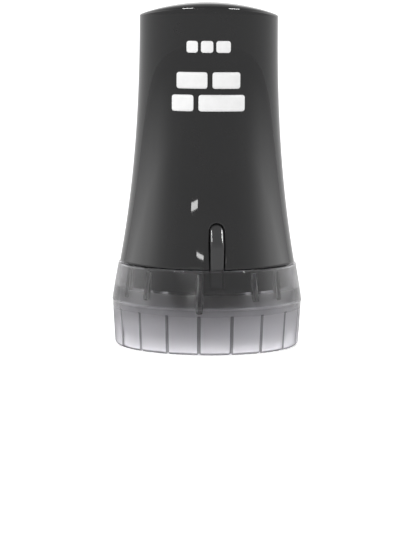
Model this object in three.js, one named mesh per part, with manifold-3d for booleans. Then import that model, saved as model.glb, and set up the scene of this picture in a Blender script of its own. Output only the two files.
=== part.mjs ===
// Privacy roller stamp: a rubber print wheel and its ink roller in a small cartridge, a waisted
// housing for the hand, and the smoked cap that it stands in.
// Millimetres, +Z up, origin in the middle of the cap's foot, front towards -Y, right towards +X.
// An azimuth is counted in degrees from the front towards the right.

import * as THREE from "three";
import { mergeVertices } from "three/addons/utils/BufferGeometryUtils.js";
import Module from "manifold-3d";

const wasm = await Module();
wasm.setup();

// Driving sizes. The radii grow outwards from the print wheel: the cheeks beside it, the neck, the
// housing, then the cap, whose rim comes out 38.1 across.
const totalHeight = 68.3;
const printWidth = 12.7;
const printRadius = 10.25; // of the print wheel, over its raised marks

// Clearances
const seatGap = 0.3; // between pieces that rest against each other
const runGap = 0.1; // around a shaft in its hole
const faceGap = 0.2; // beside a piece that turns
const overrun = 1; // how far a cut runs past what it cuts

// Cap
const capHeight = 16.5;
const rimHeight = 9.1;
const capWall = 1.2;
const capLip = 0.3; // of the mouth beyond the housing's skirt
const rimFlare = 1.25; // of the rim beyond the mouth
const capFootInset = 0.5; // of the foot inside the rim
const capFillet = 0.9;
const capFloorTop = 3;
const capFloorWall = 1.4;
const capInnerFillet = 0.8;
const footRingWidth = 1.5;
const footTaper = 0.3;
const coneExponent = 1.15;
const grooveCount = 18;
const groovePhaseDegrees = -4.6;
const grooveWidth = 0.55;
const grooveDepth = 0.35;
const grooveRimGap = 1.2;
const grooveRunout = 0.3;
const ribWidth = 0.8;
const ribMouthGap = 0.8;
const ribHeight = 5.3;
const ribDegrees = [-56, -37, 37, 56, 124, 143, 217, 236]; // counted from the key
const keyWidth = 1;
const keyHeight = 7.8;
const keyDepth = 0.6; // how far the key reaches into the neck

// Housing
const housingWall = 1.65;
const housingFlare = 3.73; // of the skirt beyond the column's top
const roofThickness = 1.8;
const flareExponent = 2.35;
const archDrop = 2.4; // from the crest of the roof down to its two side corners
const crownFillet = 1.4; // along the front and back edges of the roof
const cornerFillet = 0.45; // at the two side corners
const wallShares = [0, 0.07, 0.15, 0.24, 0.35, 0.48, 0.63, 0.8, 1];
const innerWallShares = [1, 0.7, 0.45, 0.25, 0.1, 0];
const roofShares = [0.66, 0.33];

// Neck
const neckDepth = 4.5; // how far the neck reaches into the cap
const neckWall = 1.2;
const spigotHeight = 5.7; // above the cap's mouth, inside the housing

// Release tongues, one at the front and one half a turn round
const tongueDegrees = 6.6;
const tongueSides = [
  ["front", 0],
  ["back", 180],
];
const tongueWidth = 2.7;
const tongueProud = 0.05; // of its face beyond the skirt's radius
const tongueFaceHeight = 4.4; // above the skirt's edge: the face leans back from here up
const tongueHeight = 8.75; // above the skirt's edge
const tongueTipSetback = 1.75;
const tongueBladeThickness = 1.4;
const tongueStemThickness = 1.2;
const tongueStemDepth = 3.4; // below the cap's mouth
const slotGap = 0.2;

// Cartridge frame
const cheekThickness = 1.6;
const cheekInset = 2.45; // of the cheeks' front and back edges inside the print radius
const cheekTopShare = 0.666; // of the cheeks' depth that their upper part keeps
const cheekRise = 0.6; // of the cheeks above the bridge
const cheekLift = 1.6; // of the cheeks' round ends above the wheel's lowest point
const cheekTopCorner = 1.5;
const bridgeInset = 0.6; // of the bridge inside the cheeks' upper edges
const bridgeThickness = 2.6;
const bridgePocketDepth = 1;
const bridgePocketMargin = 1.6;
const bridgeLift = 0.8; // above the ink roller

// Print wheel
const wheelFloorGap = 1.6; // between the wheel and the cap's floor
const markHeight = 0.55;
const dieThickness = 0.9;
const markRows = 5;
const marksPerRow = 18;
const markWidthShare = 0.62;
const markLengthShares = [0.7, 0.36];
const wheelFlangeInset = 0.85; // of the flanges inside the print radius
const wheelFlangeThickness = 1;
const bossThickness = 1.6;
const bossLength = 0.55; // beyond the flange
const washerThickness = 0.5;
const wheelAxleRadius = 1.5;
const clipThickness = 0.6;
const clipWidth = 1.1;
const clipMouth = 1.5;
const axleEnd = 0.45; // beyond the clip

// Ink roller
const inkRadius = 5.5;
const inkPadGap = 0.15; // between the ink roller and the print marks
const inkOverlap = 0.45; // of the ink sleeve beyond each side of the print
const inkSleeveThickness = 3;
const inkFlangeThickness = 0.8;
const inkFlangeInset = 1;
const inkAxleRadius = 1;

// Bridge screws
const screwRadius = 0.8;
const screwHeadRadius = 1.6;
const screwHeadThickness = 0.8;
const screwLength = 4.2;
const screwSlotWidth = 0.5;
const screwSlotDepth = 0.35;

// How round the round pieces are
const housingColumns = 56;
const neckSides = 48;
const wheelSides = 36;
const rollerSides = 28;
const shaftSides = 20;

// Heights that follow from the sizes
const rad = THREE.MathUtils.degToRad;
const neckBottom = capHeight - neckDepth;
const housingBottom = capHeight + seatGap;
const housingCorner = totalHeight - archDrop;
const spigotTop = capHeight + spigotHeight;
const ribTop = capHeight - ribMouthGap;
const tongueBottom = capHeight - tongueStemDepth;
const tongueShoulder = housingBottom + tongueFaceHeight;
const tongueTop = housingBottom + tongueHeight;
const wheelHeight = capFloorTop + wheelFloorGap + printRadius;
const inkHeight = wheelHeight + printRadius + inkPadGap + inkRadius;
const bridgeBottom = inkHeight + inkRadius + bridgeLift;
const bridgeTop = bridgeBottom + bridgeThickness;
const screwHeight = bridgeBottom + bridgeThickness / 2;
const cheekTop = bridgeTop + cheekRise;

// Distances from the middle plane along X, and of the cheeks' edges along Y
const flangeInner = printWidth / 2 + faceGap;
const flangeOuter = flangeInner + wheelFlangeThickness;
const bossHalf = flangeOuter + bossLength;
const cheekInner = bossHalf + washerThickness + 2 * faceGap;
const cheekOuter = cheekInner + cheekThickness;
const clipInner = cheekOuter + faceGap;
const axleHalf = clipInner + clipThickness + axleEnd;
const cheekHalfDepth = printRadius - cheekInset;
const cheekHalfTop = cheekHalfDepth * cheekTopShare;

// Radii that follow from the sizes
const neckBore = Math.hypot(cheekOuter, cheekHalfDepth) + seatGap;
const spigotRadius = neckBore + neckWall;
const housingTopRadius =
  spigotRadius + seatGap + housingWall - housingFlare * flareShare(spigotTop);
const housingSkirtRadius = housingTopRadius + housingFlare;
const capMouthRadius = housingSkirtRadius + capLip;
const rimRadius = capMouthRadius + rimFlare;
const capFootRadius = rimRadius - capFootInset;
const neckRadius = capMouthRadius - capWall - seatGap;
const archRadius = (housingTopRadius ** 2 + archDrop ** 2) / (2 * archDrop);
const tongueFace = housingSkirtRadius + tongueProud;
const stemInner = neckRadius - runGap - tongueStemThickness;

// Radius of the cap's outside at a height: foot fillet, near-straight grip ring, then the cone
function capOuter(z) {
  if (z < capFillet) {
    return capFootRadius - capFillet + Math.sqrt(capFillet ** 2 - (capFillet - z) ** 2);
  }
  if (z < rimHeight) {
    const share = (z - capFillet) / (rimHeight - capFillet);
    return capFootRadius + (rimRadius - capFootRadius) * share;
  }
  const share = Math.min((z - rimHeight) / (capHeight - rimHeight), 1);
  return rimRadius - (rimRadius - capMouthRadius) * share ** coneExponent;
}

// How much of the housing's flare is reached at a height: none at the top, all at the skirt
function flareShare(z) {
  const share = Math.max(housingCorner - z, 0) / (housingCorner - housingBottom);
  return share ** flareExponent;
}

// Radius of the housing's outside at a height
function housingOuter(z) {
  return housingTopRadius + housingFlare * flareShare(z);
}

// Height of the roof, a vault whose axis runs from front to back
function archHeight(x) {
  return totalHeight - archRadius + Math.sqrt(archRadius ** 2 - x ** 2);
}

// A closed mesh as a solid that can be joined and cut
function solid(geometry) {
  const bare = new THREE.BufferGeometry();
  bare.setAttribute("position", geometry.getAttribute("position").clone());
  bare.setIndex(geometry.getIndex());
  const merged = mergeVertices(bare);
  return new wasm.Manifold(
    new wasm.Mesh({
      numProp: 3,
      vertProperties: new Float32Array(merged.getAttribute("position").array),
      triVerts: new Uint32Array(merged.getIndex().array),
    }),
  );
}

function geometryOf(body) {
  const mesh = body.getMesh();
  const geometry = new THREE.BufferGeometry();
  geometry.setAttribute("position", new THREE.BufferAttribute(mesh.vertProperties, 3));
  geometry.setIndex(new THREE.BufferAttribute(mesh.triVerts, 1));
  geometry.computeVertexNormals();
  return geometry;
}

function cut(body, ...tools) {
  return tools.reduce((left, tool) => left.subtract(tool), body);
}

function join(body, ...others) {
  return others.reduce((sum, other) => sum.add(other), body);
}

// A body of rings around Z, closed on the axis at both ends. A ring gives [radius, height] at a
// column, and a column holds an azimuth in radians.
function ringed(columns, rings, startHeight, endHeight) {
  const points = [0, 0, startHeight];
  for (const ring of rings) {
    for (const column of columns) {
      const [radius, z] = ring(column);
      points.push(radius * Math.sin(column.azimuth), -radius * Math.cos(column.azimuth), z);
    }
  }
  points.push(0, 0, endHeight);
  const count = columns.length;
  const at = (ring, column) => 1 + ring * count + (column % count);
  const last = at(rings.length - 1, count - 1) + 1;
  const faces = [];
  for (let c = 0; c < count; c += 1) {
    faces.push(0, at(0, c + 1), at(0, c));
    for (let r = 0; r < rings.length - 1; r += 1) {
      faces.push(at(r, c), at(r, c + 1), at(r + 1, c + 1));
      faces.push(at(r, c), at(r + 1, c + 1), at(r + 1, c));
    }
    faces.push(at(rings.length - 1, c), at(rings.length - 1, c + 1), last);
  }
  const geometry = new THREE.BufferGeometry();
  geometry.setAttribute("position", new THREE.Float32BufferAttribute(points, 3));
  geometry.setIndex(faces);
  return geometry;
}

// A box between two corners
function block(low, high) {
  const size = high.map((value, i) => value - low[i]);
  const geometry = new THREE.BoxGeometry(...size);
  return geometry.translate(...high.map((value, i) => (value + low[i]) / 2));
}

// A profile of [radius, height] points turned round Z
function turnedUpright(profile, sides) {
  const points = profile.map(([radius, z]) => new THREE.Vector2(radius, z));
  return new THREE.LatheGeometry([...points, points[0]], sides).rotateX(Math.PI / 2);
}

// A profile of [radius, x] points turned round X
function turnedAcross(profile, sides) {
  const points = profile.map(([radius, x]) => new THREE.Vector2(radius, x));
  return new THREE.LatheGeometry([...points, points[0]], sides).rotateZ(-Math.PI / 2);
}

// A round bar along X, from x0 to x1
function bar(radius, x0, x1, sides = shaftSides) {
  const geometry = new THREE.CylinderGeometry(radius, radius, x1 - x0, sides);
  return geometry.rotateZ(-Math.PI / 2).translate((x0 + x1) / 2, 0, 0);
}

// An outline of [radius, height] points at the front, widened to both sides of the YZ plane
function fin(outline, width) {
  const shape = new THREE.Shape(outline.map(([radius, z]) => new THREE.Vector2(-radius, z)));
  const geometry = new THREE.ExtrudeGeometry(shape, { depth: width, bevelEnabled: false });
  return geometry.translate(0, 0, -width / 2).applyMatrix4(
    new THREE.Matrix4().makeBasis(
      new THREE.Vector3(0, 1, 0),
      new THREE.Vector3(0, 0, 1),
      new THREE.Vector3(1, 0, 0),
    ),
  );
}

// A round-topped strip that stands at the front, and runs through from radius r0 to r1
function archedStrip(width, bottom, top, r0, r1) {
  const half = width / 2;
  const shape = new THREE.Shape();
  shape.moveTo(-half, bottom);
  shape.lineTo(half, bottom);
  shape.lineTo(half, top - half);
  shape.absarc(0, top - half, half, 0, Math.PI, false);
  shape.closePath();
  const options = { depth: r1 - r0, bevelEnabled: false, curveSegments: 10 };
  return new THREE.ExtrudeGeometry(shape, options).rotateX(Math.PI / 2).translate(0, -r0, 0);
}

function turned(geometry, azimuth) {
  return geometry.rotateZ(rad(azimuth));
}

// Cap

function capGeometry() {
  const pitch = 360 / grooveCount;
  const halfGroove = THREE.MathUtils.radToDeg(grooveWidth / 2 / rimRadius);
  const columns = [];
  for (let i = 0; i < grooveCount; i += 1) {
    const centre = groovePhaseDegrees + i * pitch;
    columns.push({ azimuth: rad(centre - halfGroove), groove: 0 });
    columns.push({ azimuth: rad(centre), groove: grooveDepth });
    columns.push({ azimuth: rad(centre + halfGroove), groove: 0 });
    columns.push({ azimuth: rad(centre + pitch / 3), groove: 0 });
    columns.push({ azimuth: rad(centre + (2 * pitch) / 3), groove: 0 });
  }
  const grooveTop = rimHeight - grooveRimGap;
  const footOuter = capFootRadius - capFillet;
  const footInner = footOuter - footRingWidth;
  const filletShare = 1 - Math.SQRT1_2;
  const grooved = (z) => (column) => [capOuter(z) - column.groove, z];
  const plain = (z) => () => [capOuter(z), z];
  const inner = (z) => () => [capOuter(z) - capWall, z];
  const coneHeight = capHeight - rimHeight;
  const rings = [
    () => [footInner - footTaper, capFloorTop - capFloorWall],
    () => [footInner, 0],
    grooved(0),
    grooved(capFillet * filletShare),
    grooved(capFillet),
    grooved(grooveTop - grooveRunout),
    plain(grooveTop),
    plain(rimHeight),
    plain(rimHeight + coneHeight / 3),
    plain(rimHeight + (2 * coneHeight) / 3),
    plain(capHeight),
    inner(capHeight),
    inner(rimHeight + coneHeight / 2),
    inner(rimHeight),
    inner(capFloorTop + capInnerFillet),
    () => [capOuter(capFloorTop) - capWall - capInnerFillet, capFloorTop],
  ];
  const shell = solid(ringed(columns, rings, capFloorTop - capFloorWall, capFloorTop));
  const ribs = ribDegrees.map((degrees) => {
    const rib = capRib(neckRadius + seatGap, ribTop - ribHeight, ribWidth);
    return turned(rib, groovePhaseDegrees + degrees);
  });
  const keyRib = capRib(neckRadius - keyDepth, ribTop - keyHeight, keyWidth);
  const key = turned(keyRib, groovePhaseDegrees);
  return geometryOf(join(shell, ...[...ribs, key].map(solid)));
}

// An upright rib that grows out of the cap's wall towards the axis
function capRib(innerRadius, bottom, width) {
  const root = (z) => [capOuter(z) - capWall / 2, z];
  const middle = (bottom + ribTop) / 2;
  const outline = [
    [innerRadius, bottom],
    [innerRadius, ribTop],
    root(ribTop),
    root(middle),
    root(bottom),
  ];
  return fin(outline, width);
}

// Housing

function housingGeometry() {
  const columns = Array.from({ length: housingColumns }, (_, i) => ({
    azimuth: (2 * Math.PI * i) / housingColumns,
  }));
  const fillet = ({ azimuth }) =>
    cornerFillet + (crownFillet - cornerFillet) * Math.cos(azimuth) ** 2;
  const edge = (column) => housingTopRadius - fillet(column);
  const wallTop = (column) =>
    archHeight(edge(column) * Math.sin(column.azimuth)) - fillet(column);
  const outerWall = (share) => (column) => {
    const z = housingBottom + share * (wallTop(column) - housingBottom);
    return [housingOuter(z), z];
  };
  const rounding = (angle) => (column) => [
    edge(column) + fillet(column) * Math.cos(rad(angle)),
    wallTop(column) + fillet(column) * Math.sin(rad(angle)),
  ];
  const roof = (share) => (column) => {
    const radius = share * edge(column);
    return [radius, archHeight(radius * Math.sin(column.azimuth))];
  };
  const innerRadius = housingTopRadius - housingWall;
  const ceiling = (radius) => ({ azimuth }) => [
    radius,
    archHeight(radius * Math.sin(azimuth)) - roofThickness,
  ];
  const innerWall = (share) => (column) => {
    const top = ceiling(innerRadius)(column)[1] - cornerFillet;
    const z = housingBottom + share * (top - housingBottom);
    return [housingOuter(z) - housingWall, z];
  };
  const rings = [
    ceiling(innerRadius / 2),
    ceiling(innerRadius - cornerFillet),
    ...innerWallShares.map(innerWall),
    ...wallShares.map(outerWall),
    ...[30, 60, 90].map(rounding),
    ...roofShares.map(roof),
  ];
  const shell = solid(ringed(columns, rings, totalHeight - roofThickness, totalHeight));
  const slots = tongueSides.map(([, turn]) => {
    const strip = archedStrip(
      tongueWidth + 2 * slotGap,
      housingBottom - overrun,
      tongueTop + slotGap,
      spigotRadius - housingWall,
      housingSkirtRadius + overrun,
    );
    return solid(turned(strip, tongueDegrees + turn));
  });
  return geometryOf(cut(shell, ...slots));
}

// Neck

function neckGeometry() {
  const profile = [
    [neckBore, neckBottom],
    [neckRadius, neckBottom],
    [neckRadius, capHeight],
    [spigotRadius, capHeight],
    [spigotRadius, spigotTop],
    [neckBore, spigotTop],
  ];
  const padFace = cheekOuter + seatGap;
  const padRadius = neckBore + neckWall / 2;
  const padAngle = Math.acos(padFace / padRadius);
  const padShape = new THREE.Shape();
  padShape.absarc(0, 0, padRadius, -padAngle, padAngle, false);
  padShape.closePath();
  const padOptions = { depth: spigotTop - neckBottom, bevelEnabled: false };
  const pads = [0, 180].map((turn) => {
    const pad = new THREE.ExtrudeGeometry(padShape, padOptions).translate(0, 0, neckBottom);
    return solid(turned(pad, turn));
  });
  const clipSpace = wheelAxleRadius + clipWidth + seatGap;
  const axleWays = [-1, 1].map((side) => {
    const ends = [side * cheekInner, side * (axleHalf + seatGap)];
    return solid(
      block(
        [Math.min(...ends), -clipSpace, neckBottom - overrun],
        [Math.max(...ends), clipSpace, wheelHeight + clipSpace],
      ),
    );
  });
  const wayHalf = tongueWidth / 2 + slotGap;
  const tongueWays = tongueSides.flatMap(([, turn]) => {
    const pocket = block(
      [-wayHalf, -neckRadius - overrun, tongueBottom - seatGap],
      [wayHalf, seatGap - stemInner, capHeight + overrun],
    );
    const notch = block(
      [-wayHalf, -neckRadius - overrun, capHeight],
      [wayHalf, overrun - neckBore, spigotTop + overrun],
    );
    return [pocket, notch].map((way) => turned(way, tongueDegrees + turn));
  });
  const keyHalf = keyWidth / 2 + seatGap;
  const keyWay = block(
    [-keyHalf, -neckRadius - overrun, neckBottom - overrun],
    [keyHalf, keyDepth + seatGap - neckRadius, ribTop + seatGap],
  );
  const ring = join(solid(turnedUpright(profile, neckSides)), ...pads);
  return geometryOf(cut(ring, ...axleWays, ...tongueWays.map(solid), solid(turned(keyWay, groovePhaseDegrees))));
}

// Release tongue, standing at the front: a stem in the neck, and a blade that stands proud of the
// housing and leans back at its tip

function tongueGeometry() {
  const tipFace = tongueFace - tongueTipSetback;
  const outline = [
    [stemInner, tongueBottom],
    [neckRadius - runGap, tongueBottom],
    [neckRadius - runGap, housingBottom],
    [tongueFace, housingBottom],
    [tongueFace, tongueShoulder],
    [tipFace, tongueTop],
    [tipFace - tongueBladeThickness, tongueTop],
    [stemInner, tongueShoulder],
  ];
  const strip = archedStrip(
    tongueWidth,
    tongueBottom - overrun,
    tongueTop,
    stemInner - overrun - tongueBladeThickness,
    tongueFace + overrun,
  );
  const blade = solid(fin(outline, tongueWidth + overrun));
  return geometryOf(blade.intersect(solid(strip)));
}

// Cheek plate, in its own plane, with its outer face towards +X

function cheekGeometry() {
  const roundEnd = wheelHeight - printRadius + cheekLift + cheekHalfDepth;
  const shoulder = spigotTop + cheekHalfDepth - cheekHalfTop;
  const shape = new THREE.Shape();
  shape.absarc(0, roundEnd, cheekHalfDepth, Math.PI, 2 * Math.PI, false);
  shape.lineTo(cheekHalfDepth, spigotTop);
  shape.lineTo(cheekHalfTop, shoulder);
  shape.lineTo(cheekHalfTop, cheekTop - cheekTopCorner);
  shape.lineTo(cheekHalfTop - cheekTopCorner, cheekTop);
  shape.lineTo(cheekTopCorner - cheekHalfTop, cheekTop);
  shape.lineTo(-cheekHalfTop, cheekTop - cheekTopCorner);
  shape.lineTo(-cheekHalfTop, shoulder);
  shape.lineTo(-cheekHalfDepth, spigotTop);
  shape.closePath();
  const holes = [
    [wheelHeight, wheelAxleRadius + runGap],
    [inkHeight, inkAxleRadius + runGap],
    [screwHeight, screwRadius + runGap],
  ];
  for (const [z, radius] of holes) {
    const hole = new THREE.Path();
    hole.absarc(0, z, radius, 0, 2 * Math.PI, true);
    shape.holes.push(hole);
  }
  const options = { depth: cheekThickness, bevelEnabled: false, curveSegments: 12 };
  const plate = new THREE.ExtrudeGeometry(shape, options);
  return plate.rotateX(Math.PI / 2).rotateZ(Math.PI / 2);
}

// Bridge between the cheeks: a bar with a shallow pocket on top and a screw hole in each end

function bridgeGeometry() {
  const half = cheekInner - faceGap;
  const halfDepth = cheekHalfTop - bridgeInset;
  const body = block([-half, -halfDepth, bridgeBottom], [half, halfDepth, bridgeTop]);
  const reach = screwLength + seatGap;
  const screwEnd = cheekOuter + faceGap - reach;
  const pocket = block(
    [bridgePocketMargin - screwEnd, bridgePocketMargin - halfDepth, bridgeTop - bridgePocketDepth],
    [screwEnd - bridgePocketMargin, halfDepth - bridgePocketMargin, bridgeTop + overrun],
  );
  const holes = [-1, 1].map((side) => {
    const ends = [side * screwEnd, side * (half + overrun)].sort((a, b) => a - b);
    return solid(bar(screwRadius + runGap, ...ends).translate(0, 0, screwHeight));
  });
  return geometryOf(cut(solid(body), solid(pocket), ...holes));
}

// Print wheel

function wheelHubGeometry() {
  const bore = wheelAxleRadius + runGap;
  const boss = wheelAxleRadius + bossThickness;
  const flange = printRadius - wheelFlangeInset;
  const seat = printRadius - markHeight - dieThickness - runGap;
  const profile = [
    [bore, -bossHalf],
    [boss, -bossHalf],
    [boss, -flangeOuter],
    [flange, -flangeOuter],
    [flange, -flangeInner],
    [seat, -flangeInner],
    [seat, flangeInner],
    [flange, flangeInner],
    [flange, flangeOuter],
    [boss, flangeOuter],
    [boss, bossHalf],
    [bore, bossHalf],
  ];
  return turnedAcross(profile, wheelSides);
}

// Rubber die: a sleeve with staggered rows of raised bars, long and short in turn
function printDieGeometry() {
  const half = printWidth / 2;
  const sleeveRadius = printRadius - markHeight;
  const profile = [
    [sleeveRadius - dieThickness, -half],
    [sleeveRadius, -half],
    [sleeveRadius, half],
    [sleeveRadius - dieThickness, half],
  ];
  const rowPitch = printWidth / markRows;
  const markPitch = (2 * Math.PI) / marksPerRow;
  const markWidth = rowPitch * markWidthShare;
  const marks = [];
  for (let row = 0; row < markRows; row += 1) {
    const x = (row + 0.5) * rowPitch - half;
    for (let i = 0; i < marksPerRow; i += 1) {
      const share = markLengthShares[(i + row) % markLengthShares.length];
      const length = share * markPitch * printRadius;
      const mark = block(
        [x - markWidth / 2, -length / 2, sleeveRadius - dieThickness / 2],
        [x + markWidth / 2, length / 2, printRadius * Math.cos((share * markPitch) / 2)],
      );
      marks.push(solid(mark.rotateX((i + (row % 2) / 2) * markPitch)));
    }
  }
  return geometryOf(join(solid(turnedAcross(profile, wheelSides)), ...marks));
}

// Flat ring round a shaft, thick along X and starting at x
function washerGeometry(shaftRadius, width, thickness) {
  const bore = shaftRadius + runGap;
  const profile = [
    [bore, 0],
    [bore + width, 0],
    [bore + width, thickness],
    [bore, thickness],
  ];
  return turnedAcross(profile, shaftSides);
}

// Push-on clip: the same ring with a mouth cut in it, downwards
function clipGeometry(shaftRadius) {
  const ring = washerGeometry(shaftRadius, clipWidth, clipThickness);
  const mouth = block(
    [-overrun, -clipMouth / 2, -shaftRadius - clipWidth - overrun],
    [clipThickness + overrun, clipMouth / 2, 0],
  );
  return geometryOf(cut(solid(ring), solid(mouth)));
}

function axleGeometry(radius) {
  return bar(radius, -axleHalf, axleHalf);
}

// Ink roller

function inkCoreGeometry() {
  const half = printWidth / 2 + inkOverlap + faceGap;
  const flangeHalf = half + inkFlangeThickness;
  const flangeRadius = inkRadius - inkFlangeInset;
  const seat = inkRadius - inkSleeveThickness - runGap;
  const bore = inkAxleRadius + runGap;
  const profile = [
    [bore, -bossHalf],
    [seat, -bossHalf],
    [seat, -flangeHalf],
    [flangeRadius, -flangeHalf],
    [flangeRadius, -half],
    [seat, -half],
    [seat, half],
    [flangeRadius, half],
    [flangeRadius, flangeHalf],
    [seat, flangeHalf],
    [seat, bossHalf],
    [bore, bossHalf],
  ];
  return turnedAcross(profile, rollerSides);
}

function inkSleeveGeometry() {
  const half = printWidth / 2 + inkOverlap;
  const bore = inkRadius - inkSleeveThickness;
  const profile = [
    [bore, -half],
    [inkRadius, -half],
    [inkRadius, half],
    [bore, half],
  ];
  return turnedAcross(profile, rollerSides);
}

// Bridge screw along X, with its head outwards at +X and a driver slot in the head
function screwGeometry() {
  const shank = bar(screwRadius, faceGap - screwLength, runGap);
  const head = bar(screwHeadRadius, 0, screwHeadThickness);
  const slot = block(
    [screwHeadThickness - screwSlotDepth, -screwHeadRadius - overrun, -screwSlotWidth / 2],
    [screwHeadThickness + overrun, screwHeadRadius + overrun, screwSlotWidth / 2],
  );
  return geometryOf(cut(join(solid(head), solid(shank)), solid(slot)));
}

// Finishes
const finish = (color, roughness, metalness = 0, more = {}) =>
  new THREE.MeshStandardMaterial({ color, roughness, metalness, ...more });

const smoked = finish(0x77757d, 0.12, 0, { transparent: true, opacity: 0.45 });
const charcoal = finish(0x3a3a3b, 0.22);
const satin = finish(0x4b4b4c, 0.4);
const framePlastic = finish(0x2b2b2d, 0.5);
const dieRubber = finish(0x464343, 0.8);
const inkedRubber = finish(0x1c1c22, 0.9);
const steel = finish(0xb8babd, 0.3, 1);
const hubPlastic = finish(0x5f5f61, 0.45);

// Assembly

function place(parent, name, geometry, material, x = 0, y = 0, z = 0) {
  const mesh = new THREE.Mesh(geometry, material);
  mesh.name = name;
  mesh.position.set(x, y, z);
  parent.add(mesh);
  return mesh;
}

// A pair that mirrors by half a turn: left at -X, right at +X
function placePair(parent, name, geometry, material, x, z) {
  place(parent, `${name}_right`, geometry, material, x, 0, z);
  const left = place(parent, `${name}_left`, geometry, material, -x, 0, z);
  left.rotation.z = Math.PI;
}

const stamp = new THREE.Group();
place(stamp, "cap_shell", capGeometry(), smoked);
place(stamp, "housing_shell", housingGeometry(), charcoal);

const cartridge = new THREE.Group();
stamp.add(cartridge);
place(cartridge, "neck_sleeve", neckGeometry(), charcoal);
for (const [side, turn] of tongueSides) {
  const tongue = place(cartridge, `release_tongue_${side}`, tongueGeometry(), satin);
  tongue.rotation.z = rad(tongueDegrees + turn);
}
placePair(cartridge, "cheek", cheekGeometry(), framePlastic, cheekInner, 0);
place(cartridge, "bridge", bridgeGeometry(), framePlastic);
placePair(cartridge, "bridge_screw", screwGeometry(), steel, clipInner, screwHeight);

const wheel = new THREE.Group();
wheel.position.z = wheelHeight;
cartridge.add(wheel);
place(wheel, "wheel_hub", wheelHubGeometry(), hubPlastic);
place(wheel, "print_die", printDieGeometry(), dieRubber);
place(wheel, "wheel_axle", axleGeometry(wheelAxleRadius), steel);
const wheelWasher = washerGeometry(wheelAxleRadius, clipWidth, washerThickness);
placePair(wheel, "wheel_washer", wheelWasher, steel, bossHalf + faceGap, 0);
placePair(wheel, "wheel_clip", clipGeometry(wheelAxleRadius), steel, clipInner, 0);

const inkRoller = new THREE.Group();
inkRoller.position.z = inkHeight;
cartridge.add(inkRoller);
place(inkRoller, "ink_core", inkCoreGeometry(), hubPlastic);
place(inkRoller, "ink_sleeve", inkSleeveGeometry(), inkedRubber);
place(inkRoller, "ink_axle", axleGeometry(inkAxleRadius), steel);
const inkWasher = washerGeometry(inkAxleRadius, clipWidth, washerThickness);
placePair(inkRoller, "ink_washer", inkWasher, steel, bossHalf + faceGap, 0);
placePair(inkRoller, "ink_clip", clipGeometry(inkAxleRadius), steel, clipInner, 0);

export default stamp;
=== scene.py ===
"""Privacy roller stamp: its finished pieces, materials and stage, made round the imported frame.

The file is laid out as an add-on and runs as a script. Lengths are metres. The origin is in the
middle of the cap's foot, +Z is up, the front looks towards -Y and the right towards +X. An azimuth
is counted from the front towards the right.
"""

import math

import bmesh
import bpy
import numpy as np
from bpy.props import FloatProperty, FloatVectorProperty, PointerProperty
from mathutils import Matrix, Vector


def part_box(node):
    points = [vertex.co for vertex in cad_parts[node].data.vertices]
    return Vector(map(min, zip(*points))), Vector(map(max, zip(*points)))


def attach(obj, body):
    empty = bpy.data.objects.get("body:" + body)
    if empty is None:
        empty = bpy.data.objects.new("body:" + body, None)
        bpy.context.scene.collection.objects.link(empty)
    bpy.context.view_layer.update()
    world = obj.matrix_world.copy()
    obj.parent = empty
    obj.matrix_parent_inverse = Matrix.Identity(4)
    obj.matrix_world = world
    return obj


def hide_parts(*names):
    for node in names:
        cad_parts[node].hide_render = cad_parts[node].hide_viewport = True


bl_info = {
    "name": "Privacy roller stamp",
    "version": (1, 0, 0),
    "blender": (4, 5, 0),
    "location": "View3D > Sidebar > Stamp",
    "description": "Makes the finished pieces of a privacy roller stamp round its packed frame",
    "category": "Add Mesh",
}

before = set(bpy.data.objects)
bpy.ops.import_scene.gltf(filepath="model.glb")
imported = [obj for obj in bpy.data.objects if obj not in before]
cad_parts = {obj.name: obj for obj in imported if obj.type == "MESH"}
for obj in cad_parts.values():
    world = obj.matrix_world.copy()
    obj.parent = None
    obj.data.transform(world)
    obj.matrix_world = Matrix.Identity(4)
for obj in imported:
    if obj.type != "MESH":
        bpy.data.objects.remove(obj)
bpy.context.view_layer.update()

MM = 0.001
TURN = 2 * math.pi


def extent(node):
    """Lowest and highest corner of a node of the frame."""
    low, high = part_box(node)
    return np.array(low), np.array(high)


# Sizes that the frame gives
_, cap_high = extent("cap_shell")
housing_low, housing_high = extent("housing_shell")
neck_low, neck_high = extent("neck_sleeve")
wheel_low, wheel_high = extent("wheel_hub")
die_low, die_high = extent("print_die")
sleeve_low, sleeve_high = extent("ink_sleeve")
_, core_high = extent("ink_core")
cheek_low, cheek_high = extent("cheek_right")
tongue_low, tongue_high = extent("release_tongue_front")
_, axle_high = extent("wheel_axle")
clip_low, clip_high = extent("wheel_clip_right")
washer_low, washer_high = extent("wheel_washer_right")
screw_low, screw_high = extent("bridge_screw_right")

CAP_HEIGHT = cap_high[2]
RIM_RADIUS = cap_high[0]
SKIRT_RADIUS = housing_high[0]
HOUSING_BOTTOM = housing_low[2]
TOTAL_HEIGHT = housing_high[2]
NECK_BOTTOM = neck_low[2]
SPIGOT_TOP = neck_high[2]
NECK_RADIUS = neck_high[0]
WHEEL_HEIGHT = (wheel_low[2] + wheel_high[2]) / 2
INK_HEIGHT = (sleeve_low[2] + sleeve_high[2]) / 2
CHEEK_INNER = cheek_low[0]
CHEEK_OUTER = cheek_high[0]
TONGUE_BOTTOM = tongue_low[2]
TONGUE_TOP = tongue_high[2]

# Clearances. The slots are closer to the tongues than in the frame, as the picture shows them.
SEAT_GAP = 0.3 * MM
RUN_GAP = 0.1 * MM
FACE_GAP = 0.2 * MM
SLOT_GAP = 0.13 * MM
OVERRUN = 1 * MM
MERGE_DISTANCE = 0.0002 * MM
SHARP_ANGLE = math.radians(50)
NECK_SHARP_ANGLE = math.radians(40)
FLAT_ANGLE = math.radians(0.5)

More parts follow.
